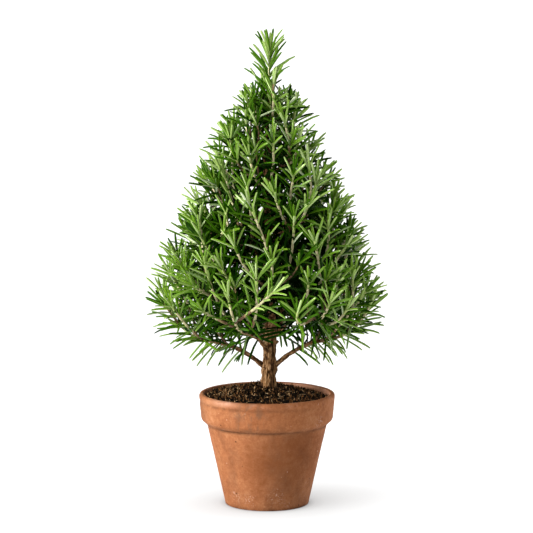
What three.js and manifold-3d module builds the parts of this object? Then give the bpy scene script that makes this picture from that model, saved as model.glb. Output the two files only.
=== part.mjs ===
// A rosemary plant trained as a slender cone in a clay pot, about half a metre tall.
// Millimetres, +Z up. The origin is in the middle of the pot's flat underside.
// One trunk runs up to the tip. Boughs leave it in opposite pairs, each pair turned on from the last,
// and each carries one mass of foliage: a stem with side shoots, and needles standing out of them.
import * as THREE from "three";
import { mergeVertices } from "three/addons/utils/BufferGeometryUtils.js";
import Module from "manifold-3d";

const wasm = await Module();
wasm.setup();
const { lerp, degToRad, clamp } = THREE.MathUtils;

// Clearance between two pieces that grow or rest on one another.
const SEAT_GAP = 0.3;

// Clay pot.
const RIM_DIAMETER = 140;
const POT_HEIGHT = 115.5;
const RIM_BAND_HEIGHT = 29;
const RIM_BAND_DRAFT = 2.1;
const BODY_TOP_DIAMETER = 125;
const FOOT_DIAMETER = 86;
const WALL = 7;
const FLOOR = 9;
const EDGE_ROUND = 3;
const DRAIN_HOLE_DIAMETER = 20;
const POT_SIDES = 48;
const ROUND_STEPS = 2;

// Soil, heaped a little above the rim in the middle and lower at the wall.
const SOIL_HEAP = 4.8;
const SOIL_EDGE_DROP = 5.5;
const SOIL_FLAT_RADIUS = 12;
const SOIL_HEAP_POWER = 3;
const SOIL_RINGS = 4;
const SOIL_SIDES = 32;

// Trunk, from a flat cut on the soil to the foot of the leading shoot.
const TRUNK_FOOT_Z = POT_HEIGHT + SOIL_HEAP + SEAT_GAP;
const TRUNK_TIP_Z = 424;
const TRUNK_FOOT_RADIUS = 7.3;
const TRUNK_TIP_RADIUS = 1.3;
const ROOT_FLARE = 1;
const ROOT_FLARE_HEIGHT = 8;
const TRUNK_LEAN = 1.5;
const TRUNK_SWAY = 1.9;
const TRUNK_SIDES = 10;
const TRUNK_RINGS = 18;

// Crown outline, as the radius that the needle tips reach at each height.
const CROWN_TIP_Z = 488;
const CROWN_WIDEST_Z = 222;
const CROWN_RADIUS = 124;
const CROWN_TOP_RADIUS = 11;
const CROWN_SKIRT_DEPTH = 94;

// Boughs, in opposite pairs up the trunk.
const BOUGH_PAIRS = 13;
const LOWEST_BOUGH_Z = 138;
const PAIR_SPACING = 15;
const PAIR_SPACING_GROWTH = 0.45;
const PAIR_TURN = degToRad(68.75);
const HEADING_JITTER = degToRad(9);
const LOWEST_RISE = 82;
const HIGHEST_RISE = 42;
const RISE_JITTER = 0.1;
const BOUGH_SWAY = degToRad(14);
const BOUGH_INSET = 14;
const BOUGH_LIFT = [1.27, -0.2, -3.12, 3.1];
const PAIRS_BARE_AT_FOOT = 7;
const BARE_SHARE = 0.29;
const LOWEST_BOUGH_RADIUS = 2.4;
const HIGHEST_BOUGH_RADIUS = 1.1;
const BARE_TAPER = 0.87;
const BOUGH_SIDES = 5;
const BOUGH_RINGS = 4;

// Side shoots of a mass.
const MOST_SHOOTS = 7;
const FEWEST_SHOOTS = 2;
const FIRST_SHOOT_AT = 0.3;
const LAST_SHOOT_AT = 0.86;
const SHOOT_PLACE_JITTER = 0.3;
const SHOOT_LENGTH_LOW = 72;
const SHOOT_LENGTH_HIGH = 46;
const SHOOT_LENGTH_AT_TIP = 0.85;
const SHOOT_LENGTH_JITTER = 0.25;
const SHOOT_SHORTENINGS = [1, 0.8, 0.62, 0.46];
const SHOOT_SPREAD = degToRad(58);
const SHOOT_ROLLS = [degToRad(10), degToRad(170), degToRad(90)];
const SHOOT_BEND_AT = 0.5;
const SHOOT_CLIMB = 1.7;
const SHOOT_INSET = 6;
const SHOOT_CLEARANCE = 2.6;
const SHOOT_TRIALS = 4;

// Slim core of needles along a stem, and the needles that stand out of it, broader than life.
const CORE_RADIUS = 2.2;
const SHOOT_FOOT_RADIUS = 1.2;
const CORE_TIP_RADIUS = 0.4;
const CORE_BELLY_AT = 0.5;
const CORE_SIDES = 4;
const NEEDLE_LENGTH = 27;
const NEEDLE_LENGTH_JITTER = 0.18;
const NEEDLE_PITCH = 6.4;
const FEWEST_RINGS = 3;
const NEEDLE_SPLAY_FOOT = degToRad(68);
const NEEDLE_SPLAY_TIP = degToRad(26);
const NEEDLE_CLEARANCE = 0.6;
const NEEDLE_TRIALS = [0.35, 0.6, 0.8, 1];
const NEEDLE_FITS = [1, 0.78, 0.58];
const NEEDLES_PAST_OUTLINE = 9;

// Leading shoot at the tip of the trunk.
const LEADER_LENGTH = 48;

// How closely a stem is followed when distances to it are measured, and from where on it.
const SPACE_STEPS = 10;
const SPACE_FROM = 0.12;

// A line counts as upright where its level part is a smaller share of it than this.
const UPRIGHT_BELOW = 0.2;

// Vertices that lie this close are one.
const MERGE_WITHIN = 1e-3;

const SEED = 7;
const CHANCE_STRIDES = [12.9898, 78.233, 37.719];
const CHANCE_SPREAD = 43758.5453;

const UP = new THREE.Vector3(0, 0, 1);
const RIGHT = new THREE.Vector3(1, 0, 0);

// A share from 0 to 1 that looks random and is always the same for the same keys.
function chance(...keys) {
  const mixed = keys.reduce((sum, key, i) => sum + key * CHANCE_STRIDES[i], SEED);
  const wave = Math.sin(mixed) * CHANCE_SPREAD;
  return wave - Math.floor(wave);
}

// The same, from -1 to 1.
function swing(...keys) {
  return 2 * chance(...keys) - 1;
}

// Radius of the crown's outline at a height: a blunt cone over a rounded skirt.
function crownRadius(z) {
  if (z < CROWN_WIDEST_Z) {
    const down = Math.min(1, (CROWN_WIDEST_Z - z) / CROWN_SKIRT_DEPTH);
    return CROWN_RADIUS * Math.sqrt(1 - down * down);
  }
  const share = clamp((CROWN_TIP_Z - z) / (CROWN_TIP_Z - CROWN_WIDEST_Z), 0, 1);
  return lerp(CROWN_TOP_RADIUS, CROWN_RADIUS, share);
}

// Middle line of the trunk: nearly upright, with one slow sway.
class TrunkLine extends THREE.Curve {
  getPoint(t, target = new THREE.Vector3()) {
    const sway = TRUNK_SWAY * Math.sin(2 * Math.PI * t);
    return target.set(TRUNK_LEAN + sway, -sway, lerp(TRUNK_FOOT_Z, TRUNK_TIP_Z, t));
  }

  // Its rings lie level, so that the cut at its foot is flat on the soil.
  getTangent(t, target = new THREE.Vector3()) {
    return target.copy(UP);
  }
}

// Middle line of a bough and of the stem that carries on from it: up off the trunk, out, then up to the tip.
class BoughLine extends THREE.Curve {
  constructor(root, heading, reach, rise, sway) {
    super();
    Object.assign(this, { root, heading, reach, rise, sway });
  }

  getPoint(u, target = new THREE.Vector3()) {
    const heading = this.heading + this.sway * u * u;
    const out = this.reach * u;
    const lift = BOUGH_LIFT.reduce((sum, share, power) => sum + share * u ** (power + 1), 0);
    target.set(out * Math.cos(heading), out * Math.sin(heading), this.rise * lift);
    return target.add(this.root);
  }
}

// Two directions across a line, which stay even along it: one to its side and one over it.
function acrossLine(line, at) {
  const along = line.getTangent(at);
  const whole = line.getPoint(1).sub(line.getPoint(0));
  const level = new THREE.Vector3().crossVectors(whole, UP);
  const side = level.length() > UPRIGHT_BELOW * whole.length() ? level : RIGHT.clone();
  side.addScaledVector(along, -side.dot(along)).normalize();
  return { along, side, over: new THREE.Vector3().crossVectors(side, along) };
}

// A direction across a line, at an angle round it.
function aside(side, over, angle) {
  return side.clone().multiplyScalar(Math.cos(angle)).addScaledVector(over, Math.sin(angle));
}

// A direction that leans away from a line's own direction by an angle.
function leaningFrom(along, away, angle) {
  return along.clone().multiplyScalar(Math.cos(angle)).addScaledVector(away, Math.sin(angle));
}

// A round tapering limb along part of a line: a cylinder with its rings moved onto the line.
function limbGeometry(line, from, to, radiusAt, sides, rings) {
  const limb = new THREE.CylinderGeometry(1, 1, 1, sides, rings);
  const place = limb.getAttribute("position");
  for (let i = 0; i < place.count; i += 1) {
    const share = place.getY(i) + 0.5;
    const at = lerp(from, to, share);
    const { side, over } = acrossLine(line, at);
    const radius = radiusAt(share);
    const spot = line.getPoint(at);
    spot.addScaledVector(side, radius * place.getX(i));
    spot.addScaledVector(over, radius * place.getZ(i));
    place.setXYZ(i, spot.x, spot.y, spot.z);
  }
  return limb;
}

// A closed geometry as a solid that can be joined and cut.
function solidFrom(geometry) {
  const bare = new THREE.BufferGeometry();
  bare.setAttribute("position", geometry.getAttribute("position"));
  bare.setIndex(geometry.getIndex());
  const merged = mergeVertices(bare, MERGE_WITHIN);
  const vertProperties = new Float32Array(merged.getAttribute("position").array);
  const triVerts = new Uint32Array(merged.getIndex().array);
  return new wasm.Manifold(new wasm.Mesh({ numProp: 3, vertProperties, triVerts }));
}

// The largest body of a solid as a geometry, without loose scraps.
function geometryFrom(solid) {
  const bodies = solid.decompose().sort((a, b) => b.volume() - a.volume());
  const mesh = bodies[0].getMesh();
  const geometry = new THREE.BufferGeometry();
  geometry.setAttribute("position", new THREE.BufferAttribute(mesh.vertProperties, mesh.numProp));
  geometry.setIndex(new THREE.BufferAttribute(mesh.triVerts, 1));
  return geometry;
}

// Materials.
const clay = new THREE.MeshStandardMaterial({ color: 0xb56a45, roughness: 0.85, metalness: 0 });
const soilMix = new THREE.MeshStandardMaterial({ color: 0x2e2118, roughness: 1, metalness: 0 });
const bark = new THREE.MeshStandardMaterial({ color: 0x7a5a41, roughness: 0.9, metalness: 0 });
const needleGreen = new THREE.MeshStandardMaterial({ color: 0x4f7a2e, roughness: 0.5, metalness: 0 });

function namedMesh(name, geometry, material) {
  const mesh = new THREE.Mesh(geometry, material);
  mesh.name = name;
  return mesh;
}

// A shape turned round the upright axis, from an outline of radius and height.
function turned(outline, sides) {
  const shape = new THREE.LatheGeometry(outline, sides);
  shape.rotateX(Math.PI / 2);
  return shape;
}

// Height of the lower edge of the pot's rim band.
const BAND_Z = POT_HEIGHT - RIM_BAND_HEIGHT;

// Radius of the pot's body at a height below the band.
function potOutside(z) {
  return lerp(FOOT_DIAMETER / 2, BODY_TOP_DIAMETER / 2, z / BAND_Z);
}

// Radius of the pot's inside at a height: straight from the floor to the lip.
function potInside(z) {
  const share = (z - FLOOR) / (POT_HEIGHT - FLOOR);
  return lerp(potOutside(FLOOR) - WALL, RIM_DIAMETER / 2 - WALL, share);
}

// Pot outline, from the drain hole out along the underside, up the outside and down the inside.
function potOutline() {
  const hole = DRAIN_HOLE_DIAMETER / 2;
  const foot = FOOT_DIAMETER / 2;
  const rim = RIM_DIAMETER / 2;
  const bandBottom = rim - RIM_BAND_DRAFT;
  const inner = potInside(POT_HEIGHT);
  const round = EDGE_ROUND;
  const path = new THREE.Path();
  path.moveTo(hole, 0);
  path.lineTo(foot - round, 0);
  path.quadraticCurveTo(foot, 0, potOutside(round), round);
  path.lineTo(potOutside(BAND_Z), BAND_Z);
  path.lineTo(bandBottom - round, BAND_Z);
  path.quadraticCurveTo(bandBottom, BAND_Z, bandBottom, BAND_Z + round);
  path.lineTo(rim, POT_HEIGHT - round);
  path.quadraticCurveTo(rim, POT_HEIGHT, rim - round, POT_HEIGHT);
  path.lineTo(inner + round, POT_HEIGHT);
  path.quadraticCurveTo(inner, POT_HEIGHT, inner, POT_HEIGHT - round);
  path.lineTo(potInside(FLOOR), FLOOR);
  path.lineTo(hole, FLOOR);
  path.lineTo(hole, 0);
  return path.getPoints(ROUND_STEPS);
}

// Height of the heaped soil at a radius.
function soilHeight(radius) {
  const wall = RIM_DIAMETER / 2 - WALL;
  const share = Math.max(0, radius - SOIL_FLAT_RADIUS) / (wall - SOIL_FLAT_RADIUS);
  return POT_HEIGHT + SOIL_HEAP - (SOIL_HEAP + SOIL_EDGE_DROP) * share ** SOIL_HEAP_POWER;
}

// Soil outline, from the middle of its underside out to the wall, up, and over the heap.
function soilOutline() {
  const bottom = FLOOR + SEAT_GAP;
  const edge = potInside(POT_HEIGHT - SOIL_EDGE_DROP) - SEAT_GAP;
  const outline = [new THREE.Vector2(0, bottom), new THREE.Vector2(potInside(bottom) - SEAT_GAP, bottom)];
  for (let ring = SOIL_RINGS; ring >= 0; ring -= 1) {
    const radius = lerp(SOIL_FLAT_RADIUS, edge, ring / SOIL_RINGS);
    outline.push(new THREE.Vector2(radius, soilHeight(radius)));
  }
  outline.push(new THREE.Vector2(0, soilHeight(0)));
  return outline;
}

const trunkLine = new TrunkLine();

// Trunk radius at a share of its height, with the flare of the root collar at its foot.
function trunkRadius(t) {
  const height = t * (TRUNK_TIP_Z - TRUNK_FOOT_Z);
  const flare = ROOT_FLARE * Math.exp(-height / ROOT_FLARE_HEIGHT);
  return lerp(TRUNK_FOOT_RADIUS, TRUNK_TIP_RADIUS, t) + flare;
}

function trunkGeometry(extra) {
  const radiusAt = (t) => trunkRadius(t) + extra;
  return limbGeometry(trunkLine, 0, 1, radiusAt, TRUNK_SIDES, TRUNK_RINGS);
}

// What is cut off limbs so that they meet the trunk with a gap.
const trunkRoom = solidFrom(trunkGeometry(SEAT_GAP));

// Everything about one bough and its mass: where it leaves the trunk, where it goes and how thick it is.
function planBough(pair, side) {
  const up = pair / (BOUGH_PAIRS - 1);
  const key = 2 * pair + side;
  const z = LOWEST_BOUGH_Z + PAIR_SPACING * pair + PAIR_SPACING_GROWTH * pair * pair;
  const rootAt = (z - TRUNK_FOOT_Z) / (TRUNK_TIP_Z - TRUNK_FOOT_Z);
  const root = trunkLine.getPoint(rootAt);
  const rise = lerp(LOWEST_RISE, HIGHEST_RISE, up) * (1 + RISE_JITTER * swing(key, 1));
  const reach = crownRadius(z + rise) - BOUGH_INSET;
  const heading = Math.PI * side + PAIR_TURN * pair + (pair > 0 ? HEADING_JITTER * swing(key, 2) : 0);
  const line = new BoughLine(root, heading, reach, rise, BOUGH_SWAY * swing(key, 3));
  return {
    key,
    up,
    line,
    name: `${String(pair + 1).padStart(2, "0")}_${side ? "b" : "a"}`,
    radius: lerp(LOWEST_BOUGH_RADIUS, HIGHEST_BOUGH_RADIUS, up),
    stemFrom: pair < PAIRS_BARE_AT_FOOT ? BARE_SHARE : 0,
  };
}

const boughs = [];
for (let pair = 0; pair < BOUGH_PAIRS; pair += 1) {
  boughs.push(planBough(pair, 0), planBough(pair, 1));
}

// The leading shoot carries straight on from the trunk.
function planLeader() {
  const foot = trunkLine.getPoint(1);
  const tip = foot.clone().addScaledVector(UP, LEADER_LENGTH).addScaledVector(RIGHT, TRUNK_LEAN);
  const gap = SEAT_GAP / LEADER_LENGTH;
  return {
    key: 2 * BOUGH_PAIRS,
    up: 1,
    line: new THREE.LineCurve3(foot, tip),
    name: "tip",
    radius: TRUNK_TIP_RADIUS,
    stemFrom: gap,
  };
}

const leader = planLeader();
const masses = [...boughs, leader];

// Spots along part of a line, for measuring how far other things lie from it.
function marksAlong(line, from, to, steps) {
  const marks = [];
  for (let step = 0; step <= steps; step += 1) {
    marks.push(line.getPoint(lerp(from, to, step / steps)));
  }
  return marks;
}

// The space of a mass is what lies nearer to its own stem than to any other mass's stem.
for (const mass of masses) {
  mass.marks = marksAlong(mass.line, Math.max(mass.stemFrom, SPACE_FROM), 1, SPACE_STEPS);
}

// Least distance from a spot to a line that is given by its marks.
function distanceToMarks(spot, marks) {
  const piece = new THREE.Line3();
  const nearest = new THREE.Vector3();
  let least = Infinity;
  for (let i = 1; i < marks.length; i += 1) {
    piece.set(marks[i - 1], marks[i]);
    piece.closestPointToPoint(spot, true, nearest);
    least = Math.min(least, nearest.distanceTo(spot));
  }
  return least;
}

// Whether a spot lies nearer to its owner than to any other, with a margin to the border between them.
function inOwnSpace(owner, others, spot, margin) {
  const own = distanceToMarks(spot, owner.marks);
  return others.every((other) => other === owner || distanceToMarks(spot, other.marks) > own + 2 * margin);
}

// How far a spot lies outside the crown's outline, or inside it where the value is below nothing.
function pastOutline(spot) {
  return Math.hypot(spot.x, spot.y) - crownRadius(spot.z);
}

// Lower boughs, which are bare near the trunk.
const bareBoughs = boughs.slice(0, 2 * PAIRS_BARE_AT_FOOT);
for (const bough of bareBoughs) {
  bough.bareMarks = marksAlong(bough.line, 0, bough.stemFrom, BOUGH_RINGS);
}
const trunkMarks = marksAlong(trunkLine, 0, 1, TRUNK_RINGS);

// Whether a spot stays clear of the trunk and of the bare boughs.
function clearOfLimbs(spot, margin) {
  const height = clamp((spot.z - TRUNK_FOOT_Z) / (TRUNK_TIP_Z - TRUNK_FOOT_Z), 0, 1);
  if (distanceToMarks(spot, trunkMarks) < trunkRadius(height) + margin) return false;
  return bareBoughs.every((bough) => distanceToMarks(spot, bough.bareMarks) > bough.radius + margin);
}

// Whether a twig or needle of a mass may pass through a spot.
function hasRoom(mass, spot, margin) {
  return inOwnSpace(mass, masses, spot, margin) && clearOfLimbs(spot, margin);
}

// Side shoot: leaves the stem to one side, bends up, and is shortened until it has room inside the crown.
function planShoot(mass, number, count) {
  const share = (number - 0.5 + SHOOT_PLACE_JITTER * swing(mass.key, number, 1)) / count;
  const at = lerp(Math.max(mass.stemFrom, FIRST_SHOOT_AT), LAST_SHOOT_AT, share);
  const start = mass.line.getPoint(at);
  const { along, side, over } = acrossLine(mass.line, at);
  const roll = SHOOT_ROLLS[number % SHOOT_ROLLS.length];
  const leaving = leaningFrom(along, aside(side, over, roll), SHOOT_SPREAD);
  const climbing = new THREE.Vector3(start.x, start.y, 0).normalize();
  climbing.addScaledVector(UP, SHOOT_CLIMB).normalize();
  const length =
    lerp(SHOOT_LENGTH_LOW, SHOOT_LENGTH_HIGH, mass.up) *
    lerp(1, SHOOT_LENGTH_AT_TIP, share) *
    (1 + SHOOT_LENGTH_JITTER * swing(mass.key, number, 2));
  for (const shortening of SHOOT_SHORTENINGS) {
    const reach = length * shortening;
    const bend = start.clone().addScaledVector(leaving, reach * SHOOT_BEND_AT);
    const end = bend.clone().addScaledVector(climbing, reach * (1 - SHOOT_BEND_AT));
    const line = new THREE.QuadraticBezierCurve3(start, bend, end);
    const beyondStem = line.getPoints(SHOOT_TRIALS).slice(1);
    const roomy = beyondStem.every((spot) => hasRoom(mass, spot, SHOOT_CLEARANCE));
    if (roomy && pastOutline(end) < -SHOOT_INSET) return line;
  }
  return null;
}

// Slim core of one stem: thin at its foot, fullest in the middle and pointed at its tip.
function coreRadius(share, footRadius) {
  if (share < CORE_BELLY_AT) return lerp(footRadius, CORE_RADIUS, share / CORE_BELLY_AT);
  return lerp(CORE_RADIUS, CORE_TIP_RADIUS, (share - CORE_BELLY_AT) / (1 - CORE_BELLY_AT));
}

// Tip of a needle that leans out of its stem, as long as it has room for, or nothing where it has none.
function needleTip(mass, spray, root, leaning, length) {
  for (const fit of NEEDLE_FITS) {
    const tip = root.clone().addScaledVector(leaning, length * fit);
    const roomy = NEEDLE_TRIALS.every((part) => {
      const spot = root.clone().lerp(tip, part);
      const halfWidth = CORE_RADIUS * (1 - part);
      const amongSprays = inOwnSpace(spray, mass.sprays, spot, halfWidth / 2);
      return amongSprays && hasRoom(mass, spot, NEEDLE_CLEARANCE + halfWidth);
    });
    if (roomy && pastOutline(tip) < NEEDLES_PAST_OUTLINE) return tip;
  }
  return null;
}

// Corner of a cylinder that a vertex belongs to, counted round it, or -1 in the middle of an end.
function cornerOf(x, z, sides) {
  if (Math.hypot(x, z) < 0.5) return -1;
  const turns = Math.atan2(z, x) / (2 * Math.PI);
  return Math.round(sides * (turns + 1)) % sides;
}

// Splits each side face of a cylinder so that no edge runs from the tip of one needle to the next.
function keepNeedlesApart(shape, drawnOut) {
  const corners = shape.getIndex();
  for (let first = 0; first < shape.groups[0].count; first += 6) {
    const [a, b, d, , c] = [0, 1, 2, 3, 4].map((step) => corners.getX(first + step));
    if (drawnOut[b] || drawnOut[d]) {
      [a, b, c, a, c, d].forEach((corner, step) => corners.setX(first + step, corner));
    }
  }
}

// A stem with its needles: a slim four-sided cylinder laid along a line, with two opposite corners
// of each ring drawn out into needles, each pair a quarter turn on from the last.
function sprayGeometry(mass, spray) {
  const { line, from, number, footRadius } = spray;
  const rings = Math.max(FEWEST_RINGS, Math.round((line.getLength() * (1 - from)) / NEEDLE_PITCH));
  const twist = Math.PI * chance(mass.key, number, 3);
  const shape = new THREE.CylinderGeometry(1, 1, 1, CORE_SIDES, rings);
  const place = shape.getAttribute("position");
  const drawnOut = [];
  for (let i = 0; i < place.count; i += 1) {
    const share = place.getY(i) + 0.5;
    const ring = Math.round(share * rings);
    const corner = cornerOf(place.getX(i), place.getZ(i), CORE_SIDES);
    const middle = line.getPoint(lerp(from, 1, share));
    const { along, side, over } = acrossLine(line, lerp(from, 1, share));
    const away = aside(side, over, twist + (2 * Math.PI * corner) / CORE_SIDES);
    drawnOut[i] = corner >= 0 && ring > 0 && ring < rings && (ring + corner) % 2 === 0;
    const leaning = leaningFrom(along, away, lerp(NEEDLE_SPLAY_FOOT, NEEDLE_SPLAY_TIP, share));
    const jitter = NEEDLE_LENGTH_JITTER * swing(mass.key, number, ring + corner);
    const tip = drawnOut[i] ? needleTip(mass, spray, middle, leaning, NEEDLE_LENGTH * (1 + jitter)) : null;
    const spot = tip ?? middle.addScaledVector(away, corner < 0 ? 0 : coreRadius(share, footRadius));
    place.setXYZ(i, spot.x, spot.y, spot.z);
  }
  keepNeedlesApart(shape, drawnOut);
  return shape;
}

// The sprays of one mass: its own stem, and the side shoots that have room.
function planSprays(mass) {
  const from = mass.stemFrom > 0 ? mass.stemFrom + SEAT_GAP / mass.line.getLength() : 0;
  const count = mass === leader ? 0 : Math.round(lerp(MOST_SHOOTS, FEWEST_SHOOTS, mass.up));
  const sprays = [{ line: mass.line, from, number: 0, footRadius: mass.radius * BARE_TAPER }];
  for (let number = 1; number <= count; number += 1) {
    const line = planShoot(mass, number, count);
    if (line) sprays.push({ line, from: 0, number, footRadius: SHOOT_FOOT_RADIUS });
  }
  for (const spray of sprays) {
    spray.marks = marksAlong(spray.line, spray.from, 1, SPACE_STEPS);
  }
  return sprays;
}

// One mass of foliage: its sprays, fused, and cut clear of the trunk where it grows straight from that.
function foliageGeometry(mass) {
  mass.sprays = planSprays(mass);
  const fused = wasm.Manifold.union(mass.sprays.map((spray) => solidFrom(sprayGeometry(mass, spray))));
  return geometryFrom(mass.stemFrom > 0 ? fused : fused.subtract(trunkRoom));
}

// Bare foot of a lower bough, cut to sit on the trunk.
function boughGeometry(bough) {
  const radiusAt = (share) => bough.radius * lerp(1, BARE_TAPER, share);
  const limb = limbGeometry(bough.line, 0, bough.stemFrom, radiusAt, BOUGH_SIDES, BOUGH_RINGS);
  return geometryFrom(solidFrom(limb).subtract(trunkRoom));
}

const plant = new THREE.Group();
plant.add(namedMesh("trunk", trunkGeometry(0), bark));
for (const bough of bareBoughs) {
  plant.add(namedMesh(`bough_${bough.name}`, boughGeometry(bough), bark));
}
for (const mass of masses) {
  plant.add(namedMesh(`foliage_${mass.name}`, foliageGeometry(mass), needleGreen));
}

const pottedPlant = new THREE.Group();
pottedPlant.add(namedMesh("pot", turned(potOutline(), POT_SIDES), clay));
pottedPlant.add(namedMesh("soil", turned(soilOutline(), SOIL_SIDES), soilMix));
pottedPlant.add(plant);

export default pottedPlant;
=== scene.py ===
"""Looks of a rosemary plant trained as a slender cone in a clay pot.

The limbs are planned in millimetres by the same rule as the solids, and go on from there to finer twigs
and needles. Meshes are in metres, +Z up, with the origin in the middle of the pot's underside."""

import math

import bpy
import numpy as np
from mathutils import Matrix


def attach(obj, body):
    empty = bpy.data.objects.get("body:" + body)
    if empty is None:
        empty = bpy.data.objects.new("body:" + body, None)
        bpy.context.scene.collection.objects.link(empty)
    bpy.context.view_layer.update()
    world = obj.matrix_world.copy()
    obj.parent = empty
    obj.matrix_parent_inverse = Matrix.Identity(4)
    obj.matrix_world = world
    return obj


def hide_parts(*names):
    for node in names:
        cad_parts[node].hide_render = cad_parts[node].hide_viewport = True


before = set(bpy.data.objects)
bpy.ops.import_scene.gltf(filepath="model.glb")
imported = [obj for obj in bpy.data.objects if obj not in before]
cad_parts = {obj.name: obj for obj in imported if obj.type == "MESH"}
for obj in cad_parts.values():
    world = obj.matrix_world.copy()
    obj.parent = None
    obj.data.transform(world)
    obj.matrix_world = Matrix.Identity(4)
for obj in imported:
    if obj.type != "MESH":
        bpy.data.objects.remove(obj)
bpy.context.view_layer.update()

MM = 0.001
UP = np.array([0.0, 0.0, 1.0])
RIGHT = np.array([1.0, 0.0, 0.0])
LEVEL = np.array([1.0, 1.0, 0.0])
FULL_TURN = 2 * math.pi
GOLDEN_TURN = math.radians(137.5)
SEED = 7
CHANCE_STRIDES = (12.9898, 78.233, 37.719)
CHANCE_SPREAD = 43758.5453

# Clay pot, in millimetres as all sizes of the plan.
RIM_RADIUS = 70.0
POT_HEIGHT = 115.5
BAND_Z = 86.5
BAND_BOTTOM_RADIUS = 67.9
BODY_TOP_RADIUS = 62.5
FOOT_RADIUS = 43.0
INNER_RIM_RADIUS = 65.0
INNER_FOOT_RADIUS = 38.0
FLOOR = 9.0
FOOT_ROUND = 1.0
INNER_LIP_ROUND = 2.0
LIP_ROUND = 3.4
BAND_SLANT_TOP = 89.5
BAND_SLANT_FOOT = 83.4
NECK_BEND_BELOW = 1.3
NECK_BEND = (1.0, 0.9)
BAND_FOOT_BEND = (1.0, 1.5)
BAND_SIDE_BEND = (0.2, 2.2)
DRAIN_HOLE_RADIUS = 10.0
POT_SIDES = 192
POT_WARP = 0.35
THROWING_LINES = 0.1
LIP_CHIPS = 0.35
LIP_CHIPS_DEPTH = 2.0
CHIPS_ABOVE = 0.35
TRUE_FOOT = 4.0
TRUE_FLOOR = 2.0
INSIDE_WALL = 0.4
# Bumps round the clay: how many go round, how tall they are, and a seed.
WARP_BUMPS = (1.3, 45.0, 3.1)
LINE_BUMPS = (0.7, 1.7, 8.7)
CHIP_BUMPS = (9.0, 6.0, 5.2)
GROOVE_Z = 107.5
GROOVE_WIDTH = 1.5
GROOVE_DEPTH = 0.95
GROOVE_TURN = math.radians(238)
GROOVE_FADING = 1.2

# Soil, heaped a little above the rim in the middle and lower at the wall.
SOIL_HEAP = 4.8
SOIL_EDGE_DROP = 5.5
SOIL_FLAT_RADIUS = 12.0
SOIL_HEAP_POWER = 1.5
SOIL_MOUND = 3.0
SOIL_MOUND_SPOT = (2.0, 17.0)
SOIL_MOUND_RADIUS = 15.0
SOIL_TILT = 2.4
SOIL_LOW_SIDE = (0.8, 0.6)
SOIL_GAP = 0.3
SOIL_SIDES = 144
SOIL_RINGS = 48
SOIL_ROUGHNESS = 1.1
SOIL_LUMPS = ((5.0, 1.7, 1.0), (2.2, 6.1, 0.6))
SOIL_CALM_EDGE = 3.0
SOIL_BELOW_CRUMBS = 0.8
CRUMBS_FROM_WALL = 2.4
CRUMBS_SUNK = 0.4
CRUMB_LUMPINESS = 1.6
CRUMB_LUMPS = {"Scale": 520.0, "Detail": 2.0}
STRAND_SIDES = 5
FIBRE_SEED = SEED + 4
FIBRES = 90
FIBRE_RING = 58.0
FIBRE_LENGTH = (3.0, 9.0)
FIBRE_CURL = 0.5
FIBRE_LIFT = (0.2, 3.2)
FIBRE_THICKNESS = (0.2, 0.5)
FIBRE_RINGS = 9
SLIVERS = 84
SLIVER_RING = (9.0, 30.0)
SLIVER_LENGTH = (3.6, 6.2)
SLIVER_ROOT = 1.5
SLIVER_LEAN = 3.4
SLIVER_BEND = (0.6, 0.3)
SLIVER_THICKNESS = (0.5, 0.95)
SLIVER_RINGS = 5

# Trunk.
TRUNK_FOOT_Z = 120.6
TRUNK_TIP_Z = 424.0
TRUNK_LENGTH = TRUNK_TIP_Z - TRUNK_FOOT_Z
TRUNK_FOOT_RADIUS = 7.3
TRUNK_TIP_RADIUS = 1.3
ROOT_FLARE = 1.0
ROOT_FLARE_HEIGHT = 8.0
TRUNK_LEAN = 1.5
TRUNK_SWAY = 1.9
TRUNK_SIDES = 80
TRUNK_RINGS = 460
TRUNK_RING_CROWDING = 1.15
TRUNK_BURIED = 5.0
TRUNK_LOBES = 0.1
LOBE_BUMPS = (1.1, 30.0, 4.4)
TRUNK_COLLAR = 0.07
TRUNK_COLLAR_HEIGHT = 12.0
BARK_DEPTH = 2.5
BARK_THINNING = 0.8
TRUNK_BARK = (2.6, 2.6, 13.0)
LIMB_BARK = (2.6, 2.6, 9.0)
TRUNK_BARK_SEED = 2.3
STUB_BARK_SEED = 7.7
BOUGH_BARK_SEED = 3.9
# Layers of the bark: bumps round and along a limb, seed, sharpness of the fissures if any, and weight.
BARK_FISSURES = (((0.8, 0.8, 0.9), 0, 3.0, 0.5), ((1.9, 1.9, 2.0), 5, 2.6, 0.35))
BARK_FLAKES = (((1.3, 1.3, 3.6), 7, 0.28), ((5.0, 5.0, 7.0), 9, 0.25))
# Swellings where boughs leave, and knots as height, degrees round, size and width.
BOUGH_SWELLING = 0.5
BOUGH_SWELLING_SIZES = (2.6, 4.0)
BOUGH_SWELLING_RISE = 1.0
KNOTS = ((123.5, 262, 1.9, 3.2), (122.5, 200, 1.7, 2.4), (127, 318, 1.0, 3.0), (150, 335, 0.9, 3.0),
         (168, 30, 1.0, 2.6), (184, 240, 0.9, 3.4))
KNOT_TALLNESS = 1.2
# Cut stubs as height, degrees round, thickness and length.
STUBS = ((170, 172, 1.5, 4.0), (166, 12, 1.4, 3.5), (140, 232, 1.2, 2.6), (196, 290, 1.2, 3.5),
         (215, 20, 1.1, 3.0), (245, 250, 1.0, 3.0))
STUB_ROOT = 1.5
STUB_CLIMB = 0.8
STUB_SLANT = 1.28
STUB_TAPER = (1.3, 0.85)
STUB_RINGS = 8
STUB_SIDES = 12
STUB_BARK = 0.22
STUB_BARK_SPREAD = 9.0

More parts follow.
